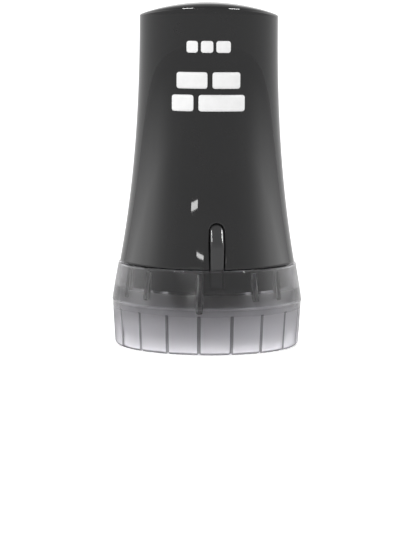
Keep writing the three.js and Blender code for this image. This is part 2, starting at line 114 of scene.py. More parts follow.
# Cap
RIM_HEIGHT = 9.1 * MM
CAP_LIP = 0.3 * MM
CAP_MOUTH_RADIUS = SKIRT_RADIUS + CAP_LIP
CAP_FOOT_RADIUS = RIM_RADIUS - 0.5 * MM
CAP_FILLET = 0.9 * MM
CAP_EDGE = 0.22 * MM
RIM_STEP = 0.1 * MM
RIM_STEP_HEIGHT = 0.3 * MM
CAP_FLOOR_TOP = 3 * MM
CAP_FLOOR_WALL = 1.4 * MM
CAP_INNER_FILLET = 0.8 * MM
FOOT_RING_WIDTH = 1.5 * MM
FOOT_TAPER = 0.3 * MM
CONE_EXPONENT = 1.15
GROOVE_COUNT = 18
GROOVE_PHASE = math.radians(-4.6)
GROOVE_TOP = RIM_HEIGHT - 1.2 * MM
GROOVE_RUNOUT = 0.4 * MM
RIB_AZIMUTHS = np.radians([-56, -37, 37, 56, 124, 143, 217, 236])
RIB_WIDTH = 0.8 * MM
RIB_TOP = CAP_HEIGHT - 0.8 * MM
RIB_LENGTH = 5.3 * MM
KEY_WIDTH = 0.8 * MM
KEY_LENGTH = 7.4 * MM
KEY_DEPTH = 0.6 * MM
RIB_SLOPE = 0.15 * MM

# Housing
HOUSING_FLARE = 3.73 * MM
HOUSING_TOP_RADIUS = SKIRT_RADIUS - HOUSING_FLARE
ARCH_DROP = 2.4 * MM
ARCH_RADIUS = (HOUSING_TOP_RADIUS**2 + ARCH_DROP**2) / (2 * ARCH_DROP)
HOUSING_CORNER = TOTAL_HEIGHT - ARCH_DROP
FLARE_EXPONENT = 2.35
ROOF_THICKNESS = 1.8 * MM
CORNER_FILLET = 0.45 * MM
CROWN_DROP = 1.1 * MM

# Release tongues and their slots
TONGUE_AZIMUTH = math.radians(6.6)
TONGUE_HALF = 1.35 * MM
TONGUE_FACE = SKIRT_RADIUS + 0.05 * MM
TONGUE_SHOULDER = HOUSING_BOTTOM + 4.4 * MM
TONGUE_SETBACK = 1.75 * MM
STEM_FACE = NECK_RADIUS - RUN_GAP
STEM_BACK = STEM_FACE - 1.2 * MM
TONGUE_BLADE_THICKNESS = 1.4 * MM
TONGUE_EDGE = 0.5 * MM
SLOT_HALF = TONGUE_HALF + SLOT_GAP
SLOT_TOP = TONGUE_TOP + SLOT_GAP
SLOT_MARGIN = 1.05 * MM
SLOT_EDGE = 0.35 * MM

# Shafts
WHEEL_SHAFT_RADIUS = 1.5 * MM
INK_SHAFT_RADIUS = 1 * MM
SCREW_RADIUS = 0.8 * MM
SCREW_HEIGHT = (screw_low[2] + screw_high[2]) / 2
COLLAR_WIDTH = 1.2 * MM

# Neck and cartridge frame
CHEEK_HALF_DEPTH = cheek_high[1]
CHEEK_TOP = cheek_high[2]
CHEEK_TOP_SHARE = 0.666
CHEEK_LIFT = 1.6 * MM
NECK_WALL = 1.2 * MM
NECK_BORE = math.hypot(CHEEK_OUTER, CHEEK_HALF_DEPTH) + SEAT_GAP
SPIGOT_RADIUS = NECK_BORE + NECK_WALL
AXLE_WAY_HALF = 2.9 * MM


# Shapes


def ease(share):
    """Smooth step: three times the share squared less twice its cube, held between 0 and 1."""
    share = np.clip(share, 0, 1)
    return share * share * (3 - 2 * share)


def grid_faces(rows, columns, closed_rows=False, closed_columns=True):
    """Four corners for each cell of a grid whose points are numbered row by row. A closed
    direction runs on from its last line to its first."""
    row = np.arange(rows if closed_rows else rows - 1)[:, None]
    column = np.arange(columns if closed_columns else columns - 1)[None, :]
    below = row * columns
    above = (row + 1) % rows * columns
    beside = (column + 1) % columns
    corners = np.broadcast_arrays(below + column, below + beside, above + beside, above + column)
    return np.stack(corners, -1).reshape(-1, 4)


def sheet_of(points, closed_rows=False, closed_columns=True):
    """A grid of points as a surface: a list of points and a list of faces."""
    rows, columns = points.shape[:2]
    return points.reshape(-1, 3), grid_faces(rows, columns, closed_rows, closed_columns)


def together(*surfaces):
    """Several surfaces as one: each one's faces count on from the points before it."""
    starts = np.cumsum([0] + [len(points) for points, _ in surfaces])
    points = np.concatenate([points for points, _ in surfaces])
    faces = np.concatenate([faces + start for (_, faces), start in zip(surfaces, starts)])
    return points, faces


def band(points):
    """A band whose rows run out over one side of a wall and back over the other, as a surface. Its
    two ends are closed by faces from each row to the row that lies behind it."""
    rows, columns = points.shape[:2]
    surface, faces = sheet_of(points, closed_rows=True, closed_columns=False)
    row = np.arange(rows // 2 - 1)
    behind = rows - 1 - row
    ends = [
        np.stack([row, row + 1, behind - 1, behind], -1) * columns + column
        for column in (0, columns - 1)
    ]
    return surface, np.concatenate([faces, *ends])


def open_band(points):
    """A band without the faces between its last row and its first."""
    surface, faces = band(points)
    rows, columns = points.shape[:2]
    index = np.arange(len(faces))
    return surface, faces[(index < (rows - 1) * (columns - 1)) | (index >= rows * (columns - 1))]


def rounded(corners, reach, steps=4, closed=True):
    """An outline with its corners rounded: from a point at the given reach before the corner to one
    at the same reach behind it, along the parabola that touches both sides there."""
    points = np.asarray(corners, float)
    before = np.roll(points, 1, 0) - points
    behind = np.roll(points, -1, 0) - points
    near = np.linalg.norm(before, axis=1)
    far = np.linalg.norm(behind, axis=1)
    reach = np.minimum(np.broadcast_to(reach, near.shape), 0.45 * np.minimum(near, far))
    if not closed:
        reach = reach * np.r_[0, np.ones(len(points) - 2), 0]
    start = points + before * (reach / near)[:, None]
    end = points + behind * (reach / far)[:, None]
    s = np.linspace(0, 1, steps + 1)[None, :, None]
    curve = (1 - s) ** 2 * start[:, None] + 2 * s * (1 - s) * points[:, None] + s**2 * end[:, None]
    return curve.reshape(-1, 2)


def upright(radius, azimuth, height):
    """Points from a radius, an azimuth and a height: x is the radius times the azimuth's sine, and
    y the radius times its cosine, towards the back where that is negative."""
    radius, azimuth, height = np.broadcast_arrays(radius, azimuth, height)
    return np.stack([radius * np.sin(azimuth), -radius * np.cos(azimuth), height], -1)


def turned_upright(profile, sides):
    """A closed profile of radius and height pairs, turned once round Z."""
    azimuth = np.linspace(0, TURN, sides, endpoint=False)
    points = upright(profile[:, :1], azimuth[None, :], profile[:, 1:])
    return sheet_of(points, closed_rows=True)


def lying(radius, angle, x, height):
    """Points round the line along X at a height: y is the radius times the angle's sine, and z the
    height less the radius times its cosine."""
    rim = np.broadcast_arrays(x, radius * np.sin(angle), height - radius * np.cos(angle))
    return np.stack(rim, -1)


def turned_across(profile, sides, height, closed=True):
    """A profile of radius and x pairs, turned once round the line along X at a height. One that
    starts and ends on that line needs no closing."""
    angle = np.linspace(0, TURN, sides, endpoint=False)[None, :]
    return sheet_of(lying(profile[:, :1], angle, profile[:, 1:], height), closed_rows=closed)


def block(low, high):
    """A box between two corners, as a surface."""
    low, high = np.minimum(low, high), np.maximum(low, high)
    corner = np.array([[i & 1, i >> 1 & 1, i >> 2] for i in range(8)])
    faces = [[0, 2, 3, 1], [4, 5, 7, 6], [0, 1, 5, 4], [2, 6, 7, 3], [0, 4, 6, 2], [1, 3, 7, 5]]
    return low + corner * (high - low), np.array(faces)


def spun(surface, azimuth):
    """A surface turned round Z by an azimuth."""
    points, faces = surface
    c, s = math.cos(azimuth), math.sin(azimuth)
    return points @ np.array([[c, s, 0], [-s, c, 0], [0, 0, 1]]), faces


# Pieces


def placed(name, data):
    """A new object in the scene."""
    item = bpy.data.objects.new(name, data)
    bpy.context.scene.collection.objects.link(item)
    return item


def final_mesh(item):
    """The mesh that an object shows, with its modifiers in it. The object is removed."""
    bpy.context.view_layer.update()
    graph = bpy.context.evaluated_depsgraph_get()
    mesh = bpy.data.meshes.new_from_object(item.evaluated_get(graph))
    bpy.data.objects.remove(item)
    return mesh


def sealed_mesh(surface):
    """A mesh from a surface, with its doubled points merged and its faces turned outwards."""
    points, faces = surface
    mesh = bpy.data.meshes.new("surface")
    mesh.from_pydata(points.tolist(), [], faces.tolist())
    seal(mesh)
    return mesh


def seal(mesh, flat=0.0):
    """Merges a mesh's doubled points, joins faces that turn by less than the flat angle, and turns
    the faces outwards."""
    work = bmesh.new()
    work.from_mesh(mesh)
    bmesh.ops.remove_doubles(work, verts=work.verts, dist=MERGE_DISTANCE)
    if flat:
        bmesh.ops.dissolve_limit(work, angle_limit=flat, verts=work.verts, edges=work.edges)
    bmesh.ops.recalc_face_normals(work, faces=work.faces)
    work.to_mesh(mesh)
    work.free()


def show(name, shape, material, body, nodes=(), bevel=0.0, steps=2):
    """Puts a surface or a mesh into the scene as a finished piece, which rides on a body and
    stands for nodes of the frame."""
    mesh = sealed_mesh(shape) if isinstance(shape, tuple) else shape
    mesh.name = name
    mesh.materials.clear()
    mesh.materials.append(material)
    mesh.shade_smooth()
    piece = placed(name, mesh)
    if bevel:
        edges = piece.modifiers.new("Edges", "BEVEL")
        edges.width = bevel
        edges.segments = steps
        edges.limit_method = "ANGLE"
        edges.angle_limit = SHARP_ANGLE
        edges.miter_outer = "MITER_ARC"
    normals = piece.modifiers.new("Normals", "WEIGHTED_NORMAL")
    normals.keep_sharp = True
    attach(piece, body)
    if nodes:
        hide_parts(*nodes)
    return piece


def carved(mesh, tools, operation="DIFFERENCE"):
    """The mesh after a cut by, or a join with, each surface in tools."""
    for tool in tools:
        worked = placed("worked", mesh)
        cutter = placed("cutter", sealed_mesh(tool))
        cut = worked.modifiers.new("Cut", "BOOLEAN")
        cut.object = cutter
        cut.operation = operation
        cut.solver = "EXACT"
        mesh = final_mesh(worked)
        bpy.data.objects.remove(cutter)
    return mesh


def softened_copy(node):
    """A node's mesh, copied and merged into flat faces, so that its edges can be bevelled."""
    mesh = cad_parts[node].data.copy()
    seal(mesh, flat=FLAT_ANGLE)
    return mesh


# Cap


def cap_outer(z):
    """Radius of the cap's outside: a round fillet at the foot, a straight grip ring, then a cone
    whose radius falls with a power of the height."""
    lift = np.clip(CAP_FILLET - z, 0, CAP_FILLET)
    foot = CAP_FOOT_RADIUS - CAP_FILLET + np.sqrt(CAP_FILLET**2 - lift**2)
    ring_share = np.clip((z - CAP_FILLET) / (RIM_HEIGHT - CAP_FILLET), 0, 1)
    ring = (RIM_RADIUS - CAP_FOOT_RADIUS) * ring_share
    cone_share = np.clip((z - RIM_HEIGHT) / (CAP_HEIGHT - RIM_HEIGHT), 0, 1)
    return foot + ring - (RIM_RADIUS - CAP_MOUTH_RADIUS) * cone_share**CONE_EXPONENT


def around(centres, offsets):
    """Azimuths that lie at each offset from each centre."""
    return (np.asarray(centres)[:, None] + np.asarray(offsets)[None, :]).ravel()


def cap_columns(settings):
    """Azimuths of the cap's columns: an even spread, and closer ones at each groove and rib."""
    grooves = GROOVE_PHASE + np.arange(GROOVE_COUNT) * TURN / GROOVE_COUNT
    half_groove = settings.groove_width / 2 / RIM_RADIUS
    shares = np.array([-1.3, -1, -0.92, -0.75, -0.5, -0.25, 0, 0.25, 0.5, 0.75, 0.92, 1, 1.3])
    half_rib = RIB_WIDTH / 2 / NECK_RADIUS
    slope = RIB_SLOPE / NECK_RADIUS
    rib_offsets = np.r_[-half_rib - slope, -half_rib, -half_rib / 2, 0]
    rib_offsets = np.r_[rib_offsets, -rib_offsets[:3]]
    key_offsets = rib_offsets * KEY_WIDTH / RIB_WIDTH
    special = np.concatenate([
        around(grooves, half_groove * shares),
        around(GROOVE_PHASE + RIB_AZIMUTHS, rib_offsets),
        GROOVE_PHASE + key_offsets,
    ]) % TURN
    even = np.linspace(0, TURN, 200, endpoint=False)
    distance = np.abs((even[:, None] - special[None, :] + math.pi) % TURN - math.pi).min(1)
    columns = np.sort(np.r_[special, even[distance > math.radians(0.6)]])
    return columns[np.r_[True, np.diff(columns) > math.radians(0.02)]]


def away_from(azimuth, centre):
    """Angle between azimuths and a centre, the short way round."""
    return np.abs((azimuth - centre + math.pi) % TURN - math.pi)


def cap_surface(settings):
    """One closed surface: a profile from the middle of the underside over the foot, the outside,
    the mouth and the inside to the middle of the floor. Grooves lower the outer radius by a half
    ellipse across their width, and ribs draw the inner radius in to theirs."""
    azimuth = cap_columns(settings)[None, :]
    foot_outer = CAP_FOOT_RADIUS - CAP_FILLET
    foot_inner = foot_outer - FOOT_RING_WIDTH
    underside = CAP_FLOOR_TOP - CAP_FLOOR_WALL
    below = rounded(
        [[0, underside], [foot_inner - FOOT_TAPER, underside], [foot_inner, 0], [foot_outer, 0]],
        [0, CAP_EDGE, CAP_EDGE, 0], closed=False,
    )
    fillet = CAP_FILLET * (1 - np.cos(np.linspace(0.1, 1, 8) * math.pi / 2))
    edge = CAP_EDGE * np.array([-1.6, -1, -0.6, -0.25, 0, 0.25, 0.6, 1, 1.6])
    outside_heights = np.r_[
        fillet,
        np.linspace(1.4 * MM, GROOVE_TOP - 1.5 * GROOVE_RUNOUT, 12),
        GROOVE_TOP - GROOVE_RUNOUT * np.array([1, 0.8, 0.6, 0.4, 0.2, 0]),
        RIM_HEIGHT + edge,
        np.linspace(RIM_HEIGHT + 0.8 * MM, CAP_HEIGHT - 1.5 * CAP_EDGE, 14),
    ]
    outside_radii = cap_outer(outside_heights)
    from_rim = outside_heights - RIM_HEIGHT
    fading = RIM_STEP / 2 * (1 - from_rim / (CAP_HEIGHT - RIM_HEIGHT))
    step = np.where(from_rim < 0, RIM_STEP, fading)
    outside_radii -= step * ease(np.abs(from_rim) / RIM_STEP_HEIGHT)
    mouth_inner = CAP_MOUTH_RADIUS - settings.wall
    mouth = rounded(
        [[cap_outer(CAP_HEIGHT - 1.2 * CAP_EDGE), CAP_HEIGHT - 1.2 * CAP_EDGE],
         [CAP_MOUTH_RADIUS, CAP_HEIGHT], [mouth_inner, CAP_HEIGHT],
         [mouth_inner + 0.02 * MM, CAP_HEIGHT - 1.2 * CAP_EDGE]],
        CAP_EDGE, closed=False,
    )
    rib_low, key_low = RIB_TOP - RIB_LENGTH, RIB_TOP - KEY_LENGTH
    slope = RIB_SLOPE * np.array([1, 0.5, 0, -0.5, -1])
    inside_heights = np.r_[
        CAP_HEIGHT - 2 * CAP_EDGE, RIB_TOP + slope,
        np.linspace(RIB_TOP - 2 * RIB_SLOPE, rib_low + 2 * RIB_SLOPE, 10),
        rib_low + slope,
        np.linspace(rib_low - 2 * RIB_SLOPE, key_low + 2 * RIB_SLOPE, 6),
        key_low + slope,
        np.linspace(key_low - 2 * RIB_SLOPE, CAP_FLOOR_TOP + CAP_INNER_FILLET, 10),
    ]
    turn = np.linspace(0, 1, 7)[1:] * math.pi / 2
    floor_radius = cap_outer(CAP_FLOOR_TOP + CAP_INNER_FILLET) - settings.wall - CAP_INNER_FILLET
    flat = np.linspace(0.92, 0, 12)
    floor = np.stack([
        np.r_[floor_radius + CAP_INNER_FILLET * np.cos(turn), floor_radius * flat],
        np.r_[CAP_FLOOR_TOP + CAP_INNER_FILLET * (1 - np.sin(turn)), 0 * flat + CAP_FLOOR_TOP],
    ], -1)

    half = settings.groove_width / 2
    nearest = np.round((azimuth - GROOVE_PHASE) * GROOVE_COUNT / TURN)
    centres = GROOVE_PHASE + nearest * TURN / GROOVE_COUNT
    across = np.clip(away_from(azimuth, centres) * RIM_RADIUS / half, 0, 1)
    groove = settings.groove_depth * np.sqrt(1 - across**2)
    end = ease((GROOVE_TOP - outside_heights) / GROOVE_RUNOUT)[:, None]
    outside = outside_radii[:, None] - groove * end
    low_edge = below[:, :1] - groove * (np.abs(below[:, :1] - foot_outer) < 1e-9)

    inside = np.repeat(cap_outer(inside_heights)[:, None] - settings.wall, azimuth.size, 1)
    key_sizes = NECK_RADIUS - KEY_DEPTH, KEY_WIDTH, key_low
    rib_sizes = NECK_RADIUS + SEAT_GAP, RIB_WIDTH, rib_low
    inside = rib(inside, inside_heights, azimuth, GROOVE_PHASE, *key_sizes)
    for place in GROOVE_PHASE + RIB_AZIMUTHS:
        inside = rib(inside, inside_heights, azimuth, place, *rib_sizes)

    def even(radii):
        return np.repeat(radii, azimuth.size, 1)

    radius = np.concatenate([low_edge, outside, even(mouth[:, :1]), inside, even(floor[:, :1])])
    height = np.r_[below[:, 1], outside_heights, mouth[:, 1], inside_heights, floor[:, 1]]
    return sheet_of(upright(radius, azimuth, height[:, None]))


def rib(inside, heights, azimuth, place, inner_radius, width, low):
    """The inner wall's radii with one rib: they fall to the rib's radius across its width and over
    its length, with a short smooth slope at each side and end."""
    side = ease((width / 2 + RIB_SLOPE - away_from(azimuth, place) * NECK_RADIUS) / RIB_SLOPE)
    length = ease((heights - low + RIB_SLOPE) / RIB_SLOPE)
    length = length * ease((RIB_TOP + RIB_SLOPE - heights) / RIB_SLOPE)
    return inside - np.maximum(inside - inner_radius, 0) * side * length[:, None]


# Housing


def housing_outer(z):
    """Radius of the housing's outside: its top radius and a flare that grows with a power of the
    distance below the corner of the roof."""
    share = np.maximum(HOUSING_CORNER - z, 0) / (HOUSING_CORNER - HOUSING_BOTTOM)
    return HOUSING_TOP_RADIUS + HOUSING_FLARE * share**FLARE_EXPONENT


def arch_height(x):
    """Height of the roof, a vault whose axis runs from front to back: a circle over X."""
    return TOTAL_HEIGHT - ARCH_RADIUS + np.sqrt(ARCH_RADIUS**2 - x**2)


def slot_border():
    """Offsets and heights of the grid lines that the frame of a slot shares with the wall."""
    across = np.linspace(-SLOT_HALF - SLOT_MARGIN, SLOT_HALF + SLOT_MARGIN, 13)
    up = np.linspace(HOUSING_BOTTOM, SLOT_TOP + SLOT_MARGIN, 25)
    return across, up


def housing_azimuths(reference):
    """Azimuths of the housing's columns at each row. Near a slot the columns keep their offset from
    its middle, so their azimuth is the arc sine of offset by radius; the rest are spread evenly."""
    across, _ = slot_border()
    near = np.arcsin(across[None, :] / reference)
    share = np.linspace(0, 1, 46)[1:-1]
    rest = near[:, -1:] + (math.pi - 2 * near[:, -1:]) * share
    half_turn = np.concatenate([near, rest], 1) + TONGUE_AZIMUTH
    return np.concatenate([half_turn, half_turn + math.pi], 1)


def housing_surface(settings):
    """A closed wall from the middle of the ceiling down the inside, and up the outside to the
    middle of the roof, whose cells at each slot give way to a frame round the slot's outline."""
    across, zone = slot_border()
    top_azimuth = housing_azimuths(np.full((1, 1), HOUSING_TOP_RADIUS))
    front_share = np.cos(top_azimuth) ** 2
    crown_depth = CORNER_FILLET + (settings.crown_depth - CORNER_FILLET) * front_share
    crown_drop = CORNER_FILLET + (CROWN_DROP - CORNER_FILLET) * front_share
    edge = HOUSING_TOP_RADIUS - crown_depth
    wall_top = arch_height(edge * np.sin(top_azimuth)) - crown_drop
    share = np.linspace(0, 1, 41)[1:, None]
    outer_z = np.concatenate([
        np.repeat(zone[:, None], wall_top.size, 1),
        zone[-1] + (wall_top - zone[-1]) * share,
    ])
    outer = upright(
        housing_outer(outer_z), housing_azimuths(housing_outer(outer_z[:, :1])), outer_z
    )
    angle = np.linspace(0, math.pi / 2, 13)[1:, None]
    crown = upright(
        edge + crown_depth * np.cos(angle), top_azimuth, wall_top + crown_drop * np.sin(angle)
    )
    roof_radius = edge * np.linspace(0.96, 0, 16)[:, None]
    roof = upright(roof_radius, top_azimuth, arch_height(roof_radius * np.sin(top_azimuth)))

    inner_top = HOUSING_TOP_RADIUS - settings.wall
    ceiling_radius = (inner_top - CORNER_FILLET) * np.linspace(0, 1, 9)[:, None]
    ceiling_z = arch_height(ceiling_radius * np.sin(top_azimuth)) - ROOF_THICKNESS
    ceiling = upright(ceiling_radius, top_azimuth, ceiling_z)
    inner_wall_top = arch_height(inner_top * np.sin(top_azimuth)) - ROOF_THICKNESS - CORNER_FILLET
    inner_z = np.concatenate([
        np.repeat(zone[:, None], wall_top.size, 1),
        zone[-1] + (inner_wall_top - zone[-1]) * np.linspace(0, 1, 15)[1:, None],
    ])
    inner_radii = housing_outer(inner_z) - settings.wall
    inner = upright(inner_radii, housing_azimuths(inner_radii[:, :1]), inner_z)[::-1]

    points = np.concatenate([ceiling, inner, outer, crown, roof])
    rows, columns = points.shape[:2]
    _, faces = sheet_of(points)
    row, column = faces.min(1) // columns, np.arange(len(faces)) % columns
    first = len(ceiling) + len(inner) - len(zone)
    in_zone = (row >= first) & (row < first + 2 * len(zone) - 1)
    in_slot = column % (columns // 2) < len(across) - 1
    surface = points.reshape(-1, 3), faces[~(in_zone & in_slot)]
    return together(surface, *[slot_frame(turn, settings.wall) for turn in (0, math.pi)])


def slot_frame(turn, wall):
    """The wall round a slot: a band from the frame of grid lines in to the slot's outline, through
    the wall, and back out on its other side. The outline is the border's own height along the
    straight sides, and points towards the border from the middle of the round end."""
    across, up = slot_border()
    border = np.concatenate([
        np.stack([np.full(len(up), across[0]), up], -1),
        np.stack([across[1:-1], np.full(len(across) - 2, up[-1])], -1),
        np.stack([np.full(len(up), across[-1]), up[::-1]], -1),
    ])
    middle = SLOT_TOP - SLOT_HALF
    rise = np.maximum(border[:, 1] - middle, 0)
    reach = np.hypot(border[:, 0], rise)
    outline = np.stack([border[:, 0] / reach * SLOT_HALF, rise / reach * SLOT_HALF], -1)
    outline[:, 1] += np.minimum(border[:, 1], middle)
    share = np.array([0, 0.25, 0.42, 0.55, 0.66, 0.76, 0.85, 0.92, 0.97, 1])[:, None, None]
    sheet = border + (outline - border) * share
    offset, height = sheet[..., 0], sheet[..., 1]
    away = np.hypot(offset, np.maximum(height - middle, 0)) - SLOT_HALF
    near = np.clip(1 - away / SLOT_EDGE, 0, 1)
    sink = SLOT_EDGE * (1 - np.sqrt(1 - near**2))

    def on_wall(depth):
        radius = housing_outer(height)
        azimuth = np.arcsin(offset / (radius - (wall if depth is wall else 0)))
        return upright(radius - depth, azimuth, height)

    outer = on_wall(sink)
    inner = on_wall(wall)
    return spun(open_band(np.concatenate([outer, inner[::-1]])), TONGUE_AZIMUTH + turn)


def print_surface():
    """Plain bars printed on the front, as thin slabs that follow the wall."""
    small, large = 1.15 * MM, 1.6 * MM
    rows = [
        (small, 59.9 * MM, [(-4.3, -2.1), (-1.5, 0.9), (1.5, 4.3)]),
        (large, 53.4 * MM, [(-6.2, -0.2), (0.8, 6.2)]),
        (large, 49.0 * MM, [(-7.1, -2.9), (-1.9, 7.1)]),
    ]
    return together(*[
        bar(left * MM, right * MM, middle, half)
        for half, middle, spans in rows for left, right in spans
    ])


def bar(left, right, middle, half):
    """A printed bar as a band over x and its own height. Its half height is a straight part and,
    within a corner's radius of either end, the root of that radius squared less the square of the
    distance past the corner's middle."""
    corner = 0.5 * MM
    share = (1 - np.cos(np.linspace(0, math.pi, 25))) / 2
    x = left + (right - left) * share
    past = np.maximum(np.maximum(left + corner - x, x - right + corner), 0)
    reach = half - corner + np.sqrt(np.maximum(corner**2 - past**2, 0))
    across = np.linspace(-1, 1, 7)[:, None]
    height = middle + np.concatenate([across, -across]) * reach
    lift = np.repeat([0.03 * MM, -0.02 * MM], len(across))[:, None]
    radius = housing_outer(height) + lift
    x = np.broadcast_to(x, height.shape)
    return band(np.stack([x, -np.sqrt(radius**2 - x**2), height], -1))


# Release tongues


def tongue_surface(turn):
    """A tongue as a band over its front and back: each row is the outline drawn in by a distance,
    the front stands at the face's radius less the edge's rounding, and the back behind it."""
    middle = TONGUE_TOP - TONGUE_HALF
    ledge = HOUSING_BOTTOM
    heights = np.r_[
        np.linspace(TONGUE_BOTTOM, ledge - 0.02 * MM, 8), ledge,
        np.linspace(ledge + 0.3 * MM, middle, 22),
    ]
    angle = np.linspace(math.pi, 0, 29)[1:-1]
    edge_share = np.array([0, 0.1, 0.25, 0.45, 0.7, 1])
    inset = np.r_[edge_share * TONGUE_EDGE, np.linspace(TONGUE_EDGE * 1.3, TONGUE_HALF, 5)][::-1]
    side = np.ones(len(heights))
    offset_unit = np.r_[-side, np.cos(angle), side]
    rise_unit = np.r_[0 * side, np.sin(angle), 0 * side]
    base = np.r_[heights, np.full(len(angle), middle), heights[::-1]]
    reach = (TONGUE_HALF - inset)[:, None]
    offset = offset_unit * reach
    height = base + rise_unit * reach
    drop = TONGUE_EDGE * (1 - np.sqrt(1 - (1 - np.clip(inset / TONGUE_EDGE, 0, 1)) ** 2))[:, None]
    bend = ease_in((height - TONGUE_SHOULDER) / (TONGUE_TOP - TONGUE_SHOULDER))
    on_stem = height < ledge - 0.01 * MM
    face = np.where(on_stem, STEM_FACE, TONGUE_FACE - TONGUE_SETBACK * bend)
    tip_back = TONGUE_FACE - TONGUE_SETBACK - TONGUE_BLADE_THICKNESS
    back = STEM_BACK + (tip_back - STEM_BACK) * bend
    rows = np.concatenate([-(face - drop), -(back + 0.4 * drop)[::-1]])
    points = np.stack([
        np.concatenate([offset, offset[::-1]]), rows, np.concatenate([height, height[::-1]]),
    ], -1)
    return spun(open_band(points), TONGUE_AZIMUTH + turn)


def ease_in(share):
    """A lean that starts softly and then runs straight: the square over the first fifth, and a
    straight line that meets it with the same slope from there to 1."""
    share = np.clip(share, 0, 1)
    soft = 0.2
    full = soft / 2 + (1 - soft)
    return np.where(share < soft, share**2 / (2 * soft), share - soft / 2) / full


# Neck and frame of the cartridge


def neck_mesh():
    """The neck: a turned sleeve and spigot, joined with two flat pads beside the cheeks, and cut
    for the axle, the tongues and the cap's key."""
    profile = rounded([
        [NECK_BORE, NECK_BOTTOM], [NECK_RADIUS, NECK_BOTTOM], [NECK_RADIUS, CAP_HEIGHT],
        [SPIGOT_RADIUS, CAP_HEIGHT], [SPIGOT_RADIUS, SPIGOT_TOP], [NECK_BORE, SPIGOT_TOP],
    ], 0.25 * MM)
    mesh = sealed_mesh(turned_upright(profile, 160))
    pad_face = CHEEK_OUTER + SEAT_GAP
    pad_radius = NECK_BORE + NECK_WALL / 2
    pad_angle = math.acos(pad_face / pad_radius)
    arc = np.linspace(-pad_angle, pad_angle, 33)
    chord = np.full(arc.shape, pad_face)
    lip = 0.25 * MM
    pads = []
    for side in (-1, 1):
        outline_x = side * np.stack([chord, pad_radius * np.cos(arc)])
        outline_y = side * np.stack([pad_radius * np.sin(arc)] * 2)
        points = np.stack([
            np.stack([outline_x[i], outline_y[i], np.full(arc.shape, z)], -1)
            for i, z in ((0, NECK_BOTTOM + lip), (1, NECK_BOTTOM + lip),
                         (1, SPIGOT_TOP - lip), (0, SPIGOT_TOP - lip))
        ])
        pads.append(sheet_of(points, closed_rows=True, closed_columns=False))
    mesh = carved(mesh, pads, "UNION")
    outside = NECK_RADIUS + OVERRUN
    cuts = []
    for side in (-1, 1):
        cuts.append(block(
            [side * CHEEK_INNER, -AXLE_WAY_HALF, NECK_BOTTOM - OVERRUN],
            [side * (axle_high[0] + SEAT_GAP), AXLE_WAY_HALF, WHEEL_HEIGHT + AXLE_WAY_HALF],
        ))
    for turn in (0, math.pi):
        pocket = block(
            [-SLOT_HALF, -outside, TONGUE_BOTTOM - SEAT_GAP],
            [SLOT_HALF, SEAT_GAP - STEM_BACK, CAP_HEIGHT + OVERRUN],
        )
        notch = block(
            [-SLOT_HALF, -outside, CAP_HEIGHT],
            [SLOT_HALF, OVERRUN - NECK_BORE, SPIGOT_TOP + OVERRUN],
        )
        cuts += [spun(pocket, TONGUE_AZIMUTH + turn), spun(notch, TONGUE_AZIMUTH + turn)]
    key_half = KEY_WIDTH / 2 + SEAT_GAP
    key_way = block(
        [-key_half, -outside, NECK_BOTTOM - OVERRUN],
        [key_half, KEY_DEPTH + SEAT_GAP - NECK_RADIUS, RIB_TOP + SEAT_GAP],
    )
    cuts.append(spun(key_way, GROOVE_PHASE))
    return carved(mesh, cuts)


# Print wheel


def mirrored(side):
    """A profile of radius and x pairs from its one side, with the mirror image behind it."""
    return np.array(side + [[r, -x] for r, x in side[::-1]])


def hub_surface():
    """The wheel's hub: a profile with a boss, two flanges and the seat of the die, turned round the
    axle, with a shallow ring sunk in each flange."""
    bore = WHEEL_SHAFT_RADIUS + RUN_GAP
    boss = 3.1 * MM
    flange = (wheel_high[2] - wheel_low[2]) / 2
    seat = flange - 0.7 * MM
    boss_half = wheel_high[0]
    outer = boss_half - 0.55 * MM
    inner = outer - 1 * MM
    sink = 0.3 * MM
    half = [
        [bore, boss_half], [boss, boss_half], [boss, outer - sink],
        [flange - 1.6 * MM, outer - sink], [flange - 1.3 * MM, outer],
        [flange, outer], [flange, inner], [seat, inner],
    ]
    return turned_across(rounded(mirrored(half), 0.15 * MM, steps=3), 96, WHEEL_HEIGHT)


